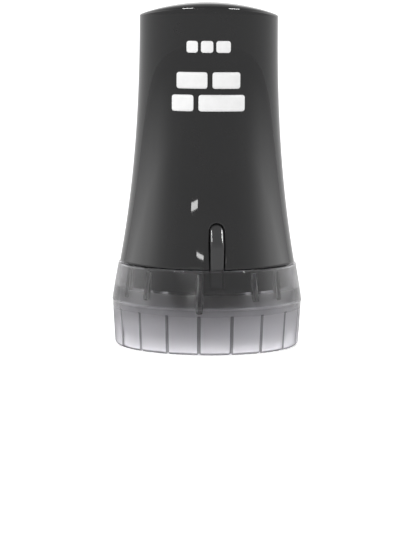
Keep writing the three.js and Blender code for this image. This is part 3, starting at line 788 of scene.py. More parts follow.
def die_surface():
    """The rubber die: its radius is the sleeve's and the height of a mark on top, over a grid of x
    and angle whose lines are closer at the marks' edges."""
    half = die_high[0]
    top = (die_high[2] - die_low[2]) / 2
    mark_height = 0.55 * MM
    sleeve = top - mark_height
    inner = sleeve - 0.9 * MM
    rows_of_marks, marks = 5, 18
    pitch_x = 2 * half / rows_of_marks
    pitch = TURN / marks
    slope = 0.1 * MM
    steps = np.array([-1, -0.5, 0, 0.5, 1])
    centres = (np.arange(rows_of_marks) + 0.5) * pitch_x - half
    mark_half = 0.31 * pitch_x
    x_edges = around(around(centres, [-mark_half, mark_half]), slope * steps / 2)
    x = np.sort(np.r_[-half + 0.05 * MM, x_edges, centres, half - 0.05 * MM])
    shares = np.array([0.7, 0.36])
    lengths = shares * pitch / 2
    edges = np.concatenate([
        around(np.arange(marks) * pitch + offset, [s * length for s in (-1, 1)])
        for length in lengths for offset in (0, pitch / 2)
    ])
    angles = np.unique(np.round(around(edges, slope / top * steps / 2) % TURN, 5))
    row = np.clip(np.floor((x + half) / pitch_x), 0, rows_of_marks - 1).astype(int)
    phase = angles[None, :] / pitch - (row[:, None] % 2) / 2
    mark = np.round(phase).astype(int)
    length = lengths[(mark + row[:, None]) % 2]
    along = (length - np.abs(phase - mark) * pitch) * top / slope + 0.5
    across = (mark_half - np.abs(x - centres[row])) / slope + 0.5
    height = ease(along) * ease(across)[:, None]
    radius = sleeve + mark_height * height
    edge = 0.05 * MM
    flat = np.ones((1, len(angles)))
    radii = np.concatenate([
        inner * flat, (sleeve - edge) * flat, radius, (sleeve - edge) * flat, inner * flat
    ])
    places = np.r_[-half, -half, x, half, half][:, None]
    return sheet_of(lying(radii, angles, places, WHEEL_HEIGHT), closed_rows=True)


def core_surface():
    """The ink roller's core: a spindle with a thin flange beside each end of the sleeve."""
    bore, seat, flange = INK_SHAFT_RADIUS + RUN_GAP, 2.4 * MM, 4.5 * MM
    boss_half = core_high[0]
    half = sleeve_high[0] + FACE_GAP
    outer = half + 0.8 * MM
    side = [
        [bore, boss_half], [seat, boss_half], [seat, outer], [flange, outer], [flange, half],
        [seat, half],
    ]
    return turned_across(rounded(mirrored(side), 0.12 * MM, steps=3), 72, INK_HEIGHT)


def ink_sleeve_surface():
    """The ink roller's sleeve: a thick tube whose outer edges are worn round, and whose radius
    swells by a little between its ends."""
    outer = (sleeve_high[2] - sleeve_low[2]) / 2
    bore = outer - 3 * MM
    half = sleeve_high[0]
    turn = np.linspace(0, math.pi / 2, 6)
    edge, sag = 0.35 * MM, 0.04 * MM
    swell = np.linspace(-1, 1, 15)[1:-1]
    side_r = outer - edge + edge * np.sin(turn) - sag
    side_x = -half + edge - edge * np.cos(turn)
    radius = np.r_[bore, bore, side_r, outer - sag * swell**2, side_r[::-1], bore]
    place = np.r_[0, -half, side_x, swell * (half - edge), -side_x[::-1], half]
    return turned_across(np.stack([radius, place], -1), 96, INK_HEIGHT)


def axle_surface(radius, height):
    """A steel axle with a small chamfer at each end."""
    half = axle_high[0]
    chamfer = 0.2 * MM
    profile = np.array([
        [0, -half], [radius - chamfer, -half], [radius, chamfer - half],
        [radius, half - chamfer], [radius - chamfer, half], [0, half],
    ])
    return turned_across(profile, 48, height, closed=False)


def collar_section(shaft, inner, outer, edge):
    """Section of a ring on a shaft, with rounded corners: radius and x pairs."""
    bore, rim = shaft + RUN_GAP, shaft + COLLAR_WIDTH
    return rounded([[bore, inner], [rim, inner], [rim, outer], [bore, outer]], edge, 2)


def washer_surface(shaft, height, side):
    """A flat washer with slightly rounded edges."""
    section = collar_section(shaft, side * washer_low[0], side * washer_high[0], 0.08 * MM)
    return turned_across(section, 48, height)


def clip_surface(shaft, height, side):
    """A push-on clip: a rounded square section carried round the shaft, from one side of the mouth
    below to the other. Its ends are closed by drawing the section in to a point."""
    section = collar_section(shaft, side * clip_low[0], side * clip_high[0], 0.1 * MM)
    half_mouth, end_allowance = 0.75 * MM, 0.12
    mouth = half_mouth / (shaft + COLLAR_WIDTH) + end_allowance
    angle = np.linspace(mouth, TURN - mouth, 49)
    angle = np.r_[angle[0], angle, angle[-1]]
    size = np.r_[0, np.ones(49), 0][None, :]
    middle = section.mean(0)
    radii = middle[0] + (section[:, :1] - middle[0]) * size
    x = middle[1] + (section[:, 1:] - middle[1]) * size
    return sheet_of(lying(radii, angle, x, height), closed_rows=True, closed_columns=False)


def screw_mesh(side):
    """A bridge screw: a turned head and shank, with a driver slot cut across the head."""
    height = SCREW_HEIGHT
    head, shank = (screw_high[2] - screw_low[2]) / 2, SCREW_RADIUS
    seat = CHEEK_OUTER + FACE_GAP
    top, end = screw_high[0], screw_low[0]
    turn = np.linspace(0, math.pi / 2, 5)
    dome = 0.3 * MM
    radius = np.r_[0, shank - 0.2 * MM, shank, shank, head, head - dome + dome * np.cos(turn), 0]
    place = np.r_[end, end, end + 0.3 * MM, seat, seat, top - dome + dome * np.sin(turn), top]
    profile = np.stack([radius, side * place], -1)
    slot_depth, slot_half = 0.35 * MM, 0.25 * MM
    slot = block(
        [side * (top - slot_depth), -head - OVERRUN, height - slot_half],
        [side * (top + OVERRUN), head + OVERRUN, height + slot_half],
    )
    turned = turned_across(profile, 40, height, closed=False)
    return carved(sealed_mesh(turned), [slot])


def cheek_mesh(side):
    """A cheek plate from a flat outline with three holes, given its thickness and round edges as a
    flat curve: a half circle below, straight sides, and a narrower upper part."""
    half, top = CHEEK_HALF_DEPTH, CHEEK_TOP
    half_top = half * CHEEK_TOP_SHARE
    round_end = WHEEL_HEIGHT - (die_high[2] - die_low[2]) / 2 + CHEEK_LIFT + half
    arc = np.linspace(math.pi, TURN, 49)
    shoulder = SPIGOT_TOP + half - half_top
    upper = rounded([
        [half, round_end + OVERRUN], [half, SPIGOT_TOP], [half_top, shoulder], [half_top, top],
        [-half_top, top], [-half_top, shoulder], [-half, SPIGOT_TOP], [-half, round_end + OVERRUN],
    ], np.array([0, 1, 1, 1.5, 1.5, 1, 1, 0]) * MM, steps=8, closed=False)
    outline = np.concatenate([
        np.stack([half * np.cos(arc), round_end + half * np.sin(arc)], -1), upper
    ])
    turn = np.linspace(0, TURN, 40, endpoint=False)
    shafts = (
        (WHEEL_HEIGHT, WHEEL_SHAFT_RADIUS),
        (INK_HEIGHT, INK_SHAFT_RADIUS),
        (SCREW_HEIGHT, SCREW_RADIUS),
    )
    holes = [
        np.stack([np.cos(turn), np.sin(turn)], -1) * (radius + RUN_GAP) + [0, z]
        for z, radius in shafts
    ]
    rim = 0.15 * MM
    curve = bpy.data.curves.new("cheek", "CURVE")
    curve.dimensions = "2D"
    curve.fill_mode = "BOTH"
    curve.extrude = (CHEEK_OUTER - CHEEK_INNER) / 2 - rim
    curve.bevel_depth = rim
    curve.bevel_resolution = 2
    curve.offset = -rim
    for path in (outline, *holes):
        spline = curve.splines.new("POLY")
        spline.points.add(len(path) - 1)
        flat = np.concatenate([path, np.zeros((len(path), 1)), np.ones((len(path), 1))], 1)
        spline.points.foreach_set("co", flat.ravel())
        spline.use_cyclic_u = True
    mesh = final_mesh(placed("cheek", curve))
    middle = side * (CHEEK_INNER + CHEEK_OUTER) / 2
    mesh.transform(Matrix(((0, 0, 1, middle), (1, 0, 0, 0), (0, 1, 0, 0), (0, 0, 0, 1))))
    seal(mesh)
    return mesh


# Materials


def add(tree, kind, inputs=None, **settings):
    """A node in a tree, with its settings, and its inputs as values or as links."""
    node = tree.nodes.new(kind)
    for key, value in settings.items():
        setattr(node, key, value)
    for key, value in (inputs or {}).items():
        if isinstance(value, bpy.types.NodeSocket):
            tree.links.new(value, node.inputs[key])
        else:
            node.inputs[key].default_value = value
    return node


def math_node(tree, operation, first, second=0.0):
    """The outcome of a sum, product or other operation on two values."""
    return add(tree, "ShaderNodeMath", {0: first, 1: second}, operation=operation).outputs[0]


def per(tree, size):
    """How many of a size go into a metre."""
    return math_node(tree, "DIVIDE", 1.0, size)


def times(tree, first, second):
    """The product of two values."""
    return math_node(tree, "MULTIPLY", first, second)


def distance_node(tree, first, second):
    """The root of the sum of two values' squares."""
    flat = add(tree, "ShaderNodeCombineXYZ", {"X": first, "Y": second})
    node = add(tree, "ShaderNodeVectorMath", {0: flat.outputs[0]}, operation="LENGTH")
    return node.outputs["Value"]


def noise(tree, place, scale, detail, roughness=0.5):
    """Noise over a place, with the given number of features to the metre."""
    return add(tree, "ShaderNodeTexNoise", {
        "Vector": place, "Scale": scale, "Detail": detail, "Roughness": roughness,
    }).outputs["Fac"]


def mapped(tree, value, low, high, to_low=0.0, to_high=1.0, smooth=False):
    """A value mapped from one range to another and held there."""
    kind = "SMOOTHSTEP" if smooth else "LINEAR"
    return add(tree, "ShaderNodeMapRange", {
        "Value": value, "From Min": low, "From Max": high, "To Min": to_low, "To Max": to_high,
    }, interpolation_type=kind).outputs["Result"]


def ramp(tree, value, stops):
    """A colour that runs through the colours at the given places between 0 and 1."""
    node = add(tree, "ShaderNodeValToRGB", {"Fac": value})
    elements = node.color_ramp.elements
    for index, (place, shade) in enumerate(stops):
        element = elements[index] if index < 2 else elements.new(place)
        element.position = place
        element.color = (*shade, 1.0)
    return node.outputs["Color"]


def effect_group(name, sizes, outputs):
    """An empty shader node group that reads a place and sizes and puts out values: the group, what
    it is given and where its values go."""
    group = bpy.data.node_groups.new(name, "ShaderNodeTree")
    group.interface.new_socket("Place", in_out="INPUT", socket_type="NodeSocketVector")
    for label, value in sizes.items():
        socket = group.interface.new_socket(label, in_out="INPUT", socket_type="NodeSocketFloat")
        socket.default_value = value
    for label in outputs:
        group.interface.new_socket(label, in_out="OUTPUT", socket_type="NodeSocketFloat")
    given = group.nodes.new("NodeGroupInput").outputs
    out = group.nodes.new("NodeGroupOutput").inputs
    return group, given, out


def moulded_skin_group():
    """Skin of a moulding: a fine peel that fades in and out, and soft marks left by handling."""
    group, given, out = effect_group(
        "moulded_skin", {"Grain Size": 1 * MM, "Mark Size": 12 * MM}, ["Height", "Marks"]
    )
    grain = noise(group, given["Place"], per(group, given["Grain Size"]), 3.0)
    marks = noise(group, given["Place"], per(group, given["Mark Size"]), 5.0, 0.6)
    group.links.new(grain, out["Height"])
    group.links.new(mapped(group, marks, 0.4, 0.68), out["Marks"])


def turned_metal_group():
    """Skin of turned steel: fine rings round the shaft, from noise over the distance to its axis
    and the place along it, and a soft change of brightness."""
    group, given, out = effect_group(
        "turned_metal", {"Ring Size": 0.05 * MM}, ["Height", "Shade"]
    )
    parts = add(group, "ShaderNodeSeparateXYZ", {"Vector": given["Place"]}).outputs
    radius = distance_node(group, parts["Y"], parts["Z"])
    flat = add(group, "ShaderNodeCombineXYZ", {"X": parts["X"], "Y": radius})
    scale = per(group, given["Ring Size"])
    shade = noise(group, given["Place"], times(group, scale, 0.02), 3.0)
    group.links.new(noise(group, flat.outputs[0], scale, 2.0, 0.6), out["Height"])
    group.links.new(mapped(group, shade, 0.35, 0.65), out["Shade"])


def pores_group():
    """Skin of a fine-pored rubber: small round pits between walls, and a slow change of wetness."""
    group, given, out = effect_group("pores", {"Pore Size": 0.35 * MM}, ["Height", "Wetness"])
    scale = per(group, given["Pore Size"])
    cells = add(group, "ShaderNodeTexVoronoi", {"Vector": given["Place"], "Scale": scale})
    wet = noise(group, given["Place"], times(group, scale, 0.12), 3.0)
    pit = mapped(group, cells.outputs["Distance"], 0.1, 0.45, smooth=True)
    group.links.new(pit, out["Height"])
    group.links.new(mapped(group, wet, 0.35, 0.65), out["Wetness"])


def start_material(name, colour, **uniform):
    """A material with a Principled shader, its uniform values, and Object coordinates."""
    material = bpy.data.materials.new(name)
    material.use_nodes = True
    tree = material.node_tree
    tree.nodes.clear()
    shader = add(tree, "ShaderNodeBsdfPrincipled", {"Base Color": (*colour, 1.0), **uniform})
    add(tree, "ShaderNodeOutputMaterial", {"Surface": shader.outputs[0]})
    place = add(tree, "ShaderNodeTexCoord").outputs["Object"]
    return material, tree, shader, place


def group_node(tree, name, inputs):
    """What a shared node group gives for these inputs."""
    return add(tree, "ShaderNodeGroup", inputs, node_tree=bpy.data.node_groups[name]).outputs


def skin_node(tree, place, grain, marks):
    """The skin of a moulding over a place: its height and its marks."""
    inputs = {"Place": place, "Grain Size": grain, "Mark Size": marks}
    return group_node(tree, "moulded_skin", inputs)


def marked(tree, skin, clean, touched):
    """A value that changes from clean skin to skin with marks."""
    return mapped(tree, skin["Marks"], 0.0, 1.0, clean, touched)


def marked_colour(tree, skin, clean, touched):
    """A colour that changes from clean skin to skin with marks. The node has several sockets of
    one name, so they are taken by place."""
    node = add(tree, "ShaderNodeMix", {
        0: skin["Marks"], 6: (*clean, 1.0), 7: (*touched, 1.0),
    }, data_type="RGBA")
    return node.outputs[2]


def bump(tree, shader, height, strength, distance):
    """Feeds a height through a bump into the shader's normal."""
    node = add(tree, "ShaderNodeBump", {
        "Height": height, "Strength": strength, "Distance": distance,
    })
    tree.links.new(node.outputs[0], shader.inputs["Normal"])


def moulded_plastic(name, colour, roughness, grain, depth):
    """Moulded plastic: its roughness rises a little over handling marks, its colour varies by a few
    parts in a hundred, and its skin has a fine peel."""
    material, tree, shader, place = start_material(name, colour)
    mark_size, mark_roughness, mark_strength = 12 * MM, 0.01, 1.12
    skin = skin_node(tree, place, grain, mark_size)
    rough = marked(tree, skin, roughness, roughness + mark_roughness)
    tree.links.new(rough, shader.inputs["Roughness"])
    tint = marked_colour(tree, skin, colour, [c * mark_strength for c in colour])
    tree.links.new(tint, shader.inputs["Base Color"])
    bump(tree, shader, skin["Height"], 0.25, depth)
    return material


def smoked_material(settings):
    """Smoked clear plastic. Its tint holds painted light: it is paler towards the foot, as painted
    light from the floor below, with bright bands at the rim's edge and the mouth as painted
    highlights. It is deeper where the wall is seen at a slant, and darker in the grooves and on the
    ribs and the key as painted shade. The inside below the neck, the floor, the ribs, the key and
    the outside towards the foot are frosted; the rest of the outside and the mouth's edge are
    polished."""
    material, tree, shader, place = start_material(
        "smoked_plastic", settings.smoke_color, **{"Transmission Weight": 1.0, "IOR": 1.49}
    )
    parts = add(tree, "ShaderNodeSeparateXYZ", {"Vector": place}).outputs
    height = parts["Z"]
    radius = distance_node(tree, parts["X"], parts["Y"])

    def over(value, low, high, to_low=0.0, to_high=1.0):
        return mapped(tree, value, low, high, to_low, to_high)

    # Heights, and how many times the tint's strength the plastic has there: painted light, paler
    # towards the foot, with painted highlights as bright bands at the rim's edge and the mouth
    stops = [
        (0.0, 2.4), (2.2 * MM, 2.2), (3.4 * MM, 2.1), (5 * MM, 2.0), (RIM_HEIGHT - 0.25 * MM, 1.9),
        (RIM_HEIGHT - 0.2 * MM, 2.7), (RIM_HEIGHT + 0.05 * MM, 2.7), (RIM_HEIGHT + 0.07 * MM, 0.74),
        (RIM_HEIGHT + 3 * MM, 0.92), (CAP_HEIGHT - 0.35 * MM, 1.0), (CAP_HEIGHT - 0.2 * MM, 2.5),
    ]
    tint = ramp(tree, over(height, 0.0, CAP_HEIGHT), [
        (z / CAP_HEIGHT, [min(c * strength, 1.0) for c in settings.smoke_color])
        for z, strength in stops
    ])
    facing = add(tree, "ShaderNodeLayerWeight", {"Blend": 0.5}).outputs["Facing"]
    edge_on = over(height, RIM_HEIGHT - 0.1 * MM, RIM_HEIGHT, settings.ring_slant, settings.slant)
    slant = over(facing, 0.25, 0.9, 1.0, edge_on)

    # A groove lies between its two depths under the grip ring's outside
    ring = over(height, CAP_FILLET, RIM_HEIGHT, CAP_FOOT_RADIUS, RIM_RADIUS)
    sunk = math_node(tree, "SUBTRACT", ring, radius)
    groove = times(
        tree, over(sunk, 0.16 * MM, 0.24 * MM), over(sunk, 0.8 * MM, 0.6 * MM)
    )
    groove = times(tree, groove, over(height, GROOVE_TOP, GROOVE_TOP - 0.2 * MM))
    # Painted shade: the tint is darkened in the grooves
    shade = times(tree, slant, over(groove, 0.0, 1.0, 1.0, settings.groove_painted_shade))

    # A rib or the key lies deeper than the wall is thick
    cone = over(height, RIM_HEIGHT, CAP_HEIGHT, RIM_RADIUS, CAP_MOUTH_RADIUS)
    depth = math_node(tree, "SUBTRACT", math_node(tree, "MINIMUM", ring, cone), radius)
    on_rib = over(depth, settings.wall + 0.02 * MM, settings.wall + 0.1 * MM)
    key_foot = RIB_TOP - KEY_LENGTH - RIB_SLOPE
    on_rib = times(tree, on_rib, over(height, key_foot - 0.1 * MM, key_foot))
    # Painted shade: the tint is darkened on the ribs and the key
    shade = times(tree, shade, over(on_rib, 0.0, 1.0, 1.0, settings.rib_painted_shade))
    tint = add(tree, "ShaderNodeVectorMath", {0: tint, "Scale": shade}, operation="SCALE")
    tree.links.new(tint.outputs[0], shader.inputs["Base Color"])

    inner = over(sunk, 0.8 * MM, 1 * MM)
    low = over(height, RIM_HEIGHT + 3 * MM, RIM_HEIGHT + 2 * MM)
    in_ring = over(height, RIM_HEIGHT + 0.05 * MM, RIM_HEIGHT - 0.05 * MM)
    frost = times(tree, inner, math_node(
        tree, "ADD", times(tree, low, settings.frost), times(tree, in_ring, settings.ring_frost)
    ))
    foot = over(height, 8.5 * MM, 3.5 * MM, 0.0, settings.foot_frost)
    frost = math_node(tree, "MAXIMUM", frost, foot)
    frost = math_node(tree, "MAXIMUM", frost, times(tree, on_rib, settings.frost))
    skin = skin_node(tree, place, 0.6 * MM, 9 * MM)
    clear = marked(tree, skin, settings.polish, settings.polish + 0.03)
    below_mouth = over(height, CAP_HEIGHT - 0.1 * MM, CAP_HEIGHT, 1.0, 0.0)
    rough = times(tree, math_node(tree, "ADD", clear, frost), below_mouth)
    tree.links.new(rough, shader.inputs["Roughness"])
    bump(tree, shader, skin["Height"], 0.12, 0.01 * MM)
    return material


def steel_material(name, centre_height):
    """Bright turned steel whose rings are centred on an axle."""
    material, tree, shader, place = start_material(name, (0.58, 0.58, 0.6), Metallic=1.0)
    centred = add(tree, "ShaderNodeMapping", {
        "Vector": place, "Location": (0.0, 0.0, -centre_height),
    })
    metal = group_node(tree, "turned_metal", {"Place": centred.outputs[0], "Ring Size": 0.06 * MM})
    tree.links.new(mapped(tree, metal["Shade"], 0.0, 1.0, 0.2, 0.34), shader.inputs["Roughness"])
    bump(tree, shader, metal["Height"], 0.3, 0.01 * MM)
    return material


def rubber_material(settings):
    """Moulded stamp rubber: matt, dusty dark, and blacker where the ink has settled in patches."""
    material, tree, shader, place = start_material("stamp_rubber", settings.rubber_color)
    skin = skin_node(tree, place, 0.25 * MM, 2.5 * MM)
    inked = marked_colour(tree, skin, settings.rubber_color, settings.ink_color)
    tree.links.new(inked, shader.inputs["Base Color"])
    tree.links.new(marked(tree, skin, 0.75, 0.4), shader.inputs["Roughness"])
    bump(tree, shader, skin["Height"], 0.35, 0.03 * MM)
    return material


def ink_roll_material(settings):
    """Fine-pored rubber soaked in black ink: pits, and a sheen where it is wet."""
    material, tree, shader, place = start_material("inked_rubber", settings.ink_color)
    pores = group_node(tree, "pores", {"Place": place, "Pore Size": 0.32 * MM})
    tree.links.new(mapped(tree, pores["Wetness"], 0.0, 1.0, 0.6, 0.28), shader.inputs["Roughness"])
    bump(tree, shader, pores["Height"], 0.6, 0.06 * MM)
    return material


def print_material(settings):
    """Pad-printed white ink: near matt, with a faint mottle where it thins."""
    material, tree, shader, place = start_material(
        "white_print", settings.print_color, Roughness=0.45
    )
    skin = skin_node(tree, place, 0.3 * MM, 3 * MM)
    thin = [c * 0.93 for c in settings.print_color]
    mottle = marked_colour(tree, skin, settings.print_color, thin)
    tree.links.new(mottle, shader.inputs["Base Color"])
    bump(tree, shader, skin["Height"], 0.1, 0.01 * MM)
    return material


def plastic(name, settings):
    """One of the stamp's opaque plastics, made at its first use. Its row gives the colour, the
    roughness, the size of the skin's grain and how deep that is."""
    kinds = {
        "charcoal_gloss": (settings.housing_color, settings.gloss, 1.2 * MM, 0.001 * MM),
        "black_gloss": (settings.neck_color, 0.5, 1.0 * MM, 0.008 * MM),
        "grey_satin": (settings.tongue_color, 0.14, 0.22 * MM, 0.006 * MM),
        "black_matt": (settings.frame_color, 0.45, 0.3 * MM, 0.02 * MM),
        "grey_matt": (settings.hub_color, 0.42, 0.3 * MM, 0.02 * MM),
    }
    colour, roughness, grain, depth = kinds[name]
    made = bpy.data.materials.get(name)
    return made or moulded_plastic(name, tuple(colour), roughness, grain, depth)


# Settings


def length(name, description, default):
    """A size in metres that a user can change."""
    return FloatProperty(
        name=name, description=description, default=default, min=0.0, unit="LENGTH"
    )


def colour(name, description, default):
    """A colour that a user can change."""
    return FloatVectorProperty(
        name=name, description=description, default=default, size=3, min=0.0, max=1.0,
        subtype="COLOR",
    )


def brightness(name, description, default):
    """A brightness that a user can change."""
    return FloatProperty(name=name, description=description, default=default, min=0.0)


def factor(name, description, default):
    """A share between 0 and 1 that a user can change."""
    return FloatProperty(
        name=name, description=description, default=default, min=0.0, max=1.0, subtype="FACTOR"
    )


class StampCapSettings(bpy.types.PropertyGroup):
    """Sizes and finish of the cap, and the shares of its painted shade"""

    wall: length("Wall", "Thickness of the cap's wall", 1.2 * MM)
    groove_width: length("Groove width", "Width of a groove in the grip ring", 0.75 * MM)
    groove_depth: length("Groove depth", "Depth of a groove in the grip ring", 0.4 * MM)
    smoke_color: colour("Smoke", "Tint of the smoked plastic", (0.354, 0.351, 0.361))
    slant: factor("Slant", "Share of the tint that is left where the cone is seen at a slant", 0.6)
    ring_slant: factor("Ring slant", "The same share on the grip ring", 0.76)
    # Painted shade: share of the tint left on the ribs and the key
    rib_painted_shade: factor("Rib shade", "Share of the tint that is left on the ribs and the key", 0.5)
    # Painted shade: share of the tint left in the grooves
    groove_painted_shade: factor("Groove shade", "Share of the tint that is left in the grooves", 0.16)
    polish: factor("Polish", "Roughness of the outside", 0.1)
    frost: factor("Frost", "Roughness of the inside below the neck", 0.4)
    foot_frost: factor("Foot frost", "Roughness of the outside at the foot", 0.9)
    ring_frost: factor("Ring frost", "Further roughness of the inside of the grip ring", 0.35)


class StampHousingSettings(bpy.types.PropertyGroup):
    """Sizes of the housing and the colour of its print"""

    wall: length("Wall", "Thickness of the housing's wall", 1.65 * MM)
    crown_depth: length("Crown depth", "How far back the rounding of the roof's edge runs", 2 * MM)
    print_color: colour("Print", "Colour of the bars printed on the front", (0.97, 0.97, 0.97))


class StampFinishSettings(bpy.types.PropertyGroup):
    """Colours and gloss of the opaque pieces"""

    housing_color: colour("Housing", "Colour of the glossy housing", (0.013, 0.013, 0.0135))
    gloss: factor("Gloss", "Roughness of the housing", 0.012)
    neck_color: colour("Neck", "Colour of the neck", (0.016, 0.016, 0.016))
    tongue_color: colour("Tongues", "Colour of the satin release tongues", (0.036, 0.036, 0.037))
    frame_color: colour("Frame", "Colour of the cheeks and the bridge", (0.03, 0.03, 0.032))
    hub_color: colour("Hubs", "Colour of the hub and the ink roller's core", (0.11, 0.11, 0.115))
    rubber_color: colour("Rubber", "Colour of the print die", (0.06, 0.052, 0.05))
    ink_color: colour("Ink", "Colour of the ink", (0.01, 0.01, 0.012))


class StampStageSettings(bpy.types.PropertyGroup):
    """Floor and studio"""

    floor_color: colour("Floor", "Colour of the floor", (0.9, 0.9, 0.9))
    world_level: brightness("Walls", "Strength of the studio's walls", 1.0)
    horizon_level: brightness("Horizon", "Brightness of the studio at the floor's edge", 0.64)
    ceiling_level: brightness("Ceiling", "Brightness of the studio's ceiling in front", 0.5)


# Operators


class STAMP_OT_finishes(bpy.types.Operator):
    """Make the node groups that the materials share"""

    bl_idname = "stamp.finishes"
    bl_label = "Finishes"

    def execute(self, context):
        moulded_skin_group()
        turned_metal_group()
        pores_group()
        return {"FINISHED"}


class STAMP_OT_cap(bpy.types.Operator):
    """Make the smoked cap with its grip ring, foot, ribs and key"""

    bl_idname = "stamp.cap"
    bl_label = "Cap"

    def execute(self, context):
        settings = context.scene.stamp_cap
        smoked = smoked_material(settings)
        show("cap", cap_surface(settings), smoked, "cap", ["cap_shell"])
        return {"FINISHED"}


class STAMP_OT_housing(bpy.types.Operator):
    """Make the waisted housing with its two slots, and the bars printed on its front"""

    bl_idname = "stamp.housing"
    bl_label = "Housing"

    def execute(self, context):
        settings = context.scene.stamp_housing
        gloss = plastic("charcoal_gloss", context.scene.stamp_finish)
        show(
            "housing", housing_surface(settings), gloss, "housing",
            ["housing_shell"], bevel=0.14 * MM,
        )
        show("front_print", print_surface(), print_material(settings), "housing")
        return {"FINISHED"}


class STAMP_OT_tongues(bpy.types.Operator):
    """Make the two release tongues"""

    bl_idname = "stamp.tongues"
    bl_label = "Release tongues"

    def execute(self, context):
        satin = plastic("grey_satin", context.scene.stamp_finish)
        for side, turn in (("front", 0), ("back", math.pi)):
            mesh = sealed_mesh(tongue_surface(turn))
            mesh.set_sharp_from_angle(angle=SHARP_ANGLE)
            name = f"tongue_{side}"
            show(name, mesh, satin, name, [f"release_{name}"])
        return {"FINISHED"}


class STAMP_OT_neck(bpy.types.Operator):
    """Make the cartridge's neck"""

    bl_idname = "stamp.neck"
    bl_label = "Neck"

    def execute(self, context):
        gloss = plastic("black_gloss", context.scene.stamp_finish)
        mesh = neck_mesh()
        mesh.shade_smooth()
        mesh.set_sharp_from_angle(angle=NECK_SHARP_ANGLE)
        show("neck", mesh, gloss, "cartridge", ["neck_sleeve"])
        return {"FINISHED"}


class STAMP_OT_cartridge_frame(bpy.types.Operator):
    """Make the cheeks, the bridge between them and its screws"""

    bl_idname = "stamp.cartridge_frame"
    bl_label = "Cartridge frame"

    def execute(self, context):
        dull = plastic("black_matt", context.scene.stamp_finish)
        steel = steel_material("screw_steel", SCREW_HEIGHT)
        for side, sign in (("left", -1), ("right", 1)):
            show(
                f"cheek_plate_{side}", cheek_mesh(sign), dull, "cartridge",
                [f"cheek_{side}"],
            )
            screw = f"screw_{side}"
            show(screw, screw_mesh(sign), steel, "cartridge", [f"bridge_{screw}"])
        show(
            "bridge_bar", softened_copy("bridge"), dull, "cartridge", ["bridge"],
            bevel=0.2 * MM, steps=3,
        )
        return {"FINISHED"}


class STAMP_OT_print_wheel(bpy.types.Operator):
    """Make the print wheel's hub and its rubber die"""

    bl_idname = "stamp.print_wheel"
    bl_label = "Print wheel"

    def execute(self, context):
        finish = context.scene.stamp_finish
        grey = plastic("grey_matt", finish)
        show("hub", hub_surface(), grey, "print_wheel", ["wheel_hub"])
        rubber = rubber_material(finish)
        show("die", die_surface(), rubber, "print_wheel", ["print_die"])
        return {"FINISHED"}


class STAMP_OT_ink_roller(bpy.types.Operator):
    """Make the ink roller's core and its porous sleeve"""

    bl_idname = "stamp.ink_roller"
    bl_label = "Ink roller"

    def execute(self, context):
        finish = context.scene.stamp_finish
        grey = plastic("grey_matt", finish)
        show("ink_spindle", core_surface(), grey, "ink_roller", ["ink_core"])
        inked = ink_roll_material(finish)
        show("ink_roll", ink_sleeve_surface(), inked, "ink_roller", ["ink_sleeve"])
        return {"FINISHED"}


class STAMP_OT_axles(bpy.types.Operator):
    """Make both axles with their washers and clips"""

    bl_idname = "stamp.axles"
    bl_label = "Axles, washers and clips"

    def execute(self, context):
        for name, shaft, height in (
            ("wheel", WHEEL_SHAFT_RADIUS, WHEEL_HEIGHT), ("ink", INK_SHAFT_RADIUS, INK_HEIGHT)
        ):
            steel = steel_material(f"{name}_steel", height)
            pieces = [("shaft", axle_surface(shaft, height), "axle")]
            for side, sign in (("left", -1), ("right", 1)):
                pieces += [
                    (f"ring_{side}", washer_surface(shaft, height, sign), f"washer_{side}"),
                    (f"keeper_{side}", clip_surface(shaft, height, sign), f"clip_{side}"),
                ]
            for piece, surface, node in pieces:
                show(f"{name}_{piece}", surface, steel, "cartridge", [f"{name}_{node}"])
        return {"FINISHED"}


class STAMP_OT_stage(bpy.types.Operator):
    """Make the pale floor, the studio light and the camera"""

    bl_idname = "stamp.stage"
    bl_label = "Stage"

    def execute(self, context):
        settings = context.scene.stamp_stage
        make_floor(settings)
        make_world(settings)
        make_lamps()
        make_camera()
        context.scene.view_settings.view_transform = "Standard"
        return {"FINISHED"}


class STAMP_PT_panel(bpy.types.Panel):
    """The stamp's pieces and stage"""

    bl_idname = "STAMP_PT_panel"
    bl_label = "Privacy roller stamp"
    bl_space_type = "VIEW_3D"
    bl_region_type = "UI"
    bl_category = "Stamp"

    def draw(self, context):
        for settings, group in SETTINGS.items():
            box = self.layout.box()
            for name in group.__annotations__:
                box.prop(getattr(context.scene, settings), name)
        for operator in OPERATORS:
            self.layout.operator(operator.bl_idname)


# Stage


def make_floor(settings):
    """A round floor: rings of points whose radius grows from the middle outwards. A camera under
    it sees through it."""
    radius = np.array([0, 0.05, 0.15, 0.4, 1, 3, 8])[:, None]
    points = upright(radius, np.linspace(0, -TURN, 64, endpoint=False)[None, :], 0.0)
    floor = placed("floor", sealed_mesh(sheet_of(points)))
    colour = tuple(settings.floor_color)
    pale, tree, shader, _ = start_material("floor", colour, Roughness=0.7)
    path = add(tree, "ShaderNodeLightPath").outputs
    seen = times(tree, path["Is Camera Ray"], FLOOR_GLOW_SEEN)
    through = times(tree, path["Is Transmission Ray"], FLOOR_GLOW_THROUGH)
    shader.inputs["Emission Color"].default_value = (1, 1, 1, 1)
    tree.links.new(math_node(tree, "MAXIMUM", seen, through), shader.inputs["Emission Strength"])
    under = add(tree, "ShaderNodeNewGeometry").outputs["Backfacing"]
    clear = add(tree, "ShaderNodeBsdfTransparent").outputs[0]
    mix = add(tree, "ShaderNodeMixShader", {
        0: times(tree, under, path["Is Camera Ray"]), 1: shader.outputs[0], 2: clear,
    })
    tree.links.new(mix.outputs[0], tree.get_output_node("ALL").inputs["Surface"])
    floor.data.materials.append(pale)


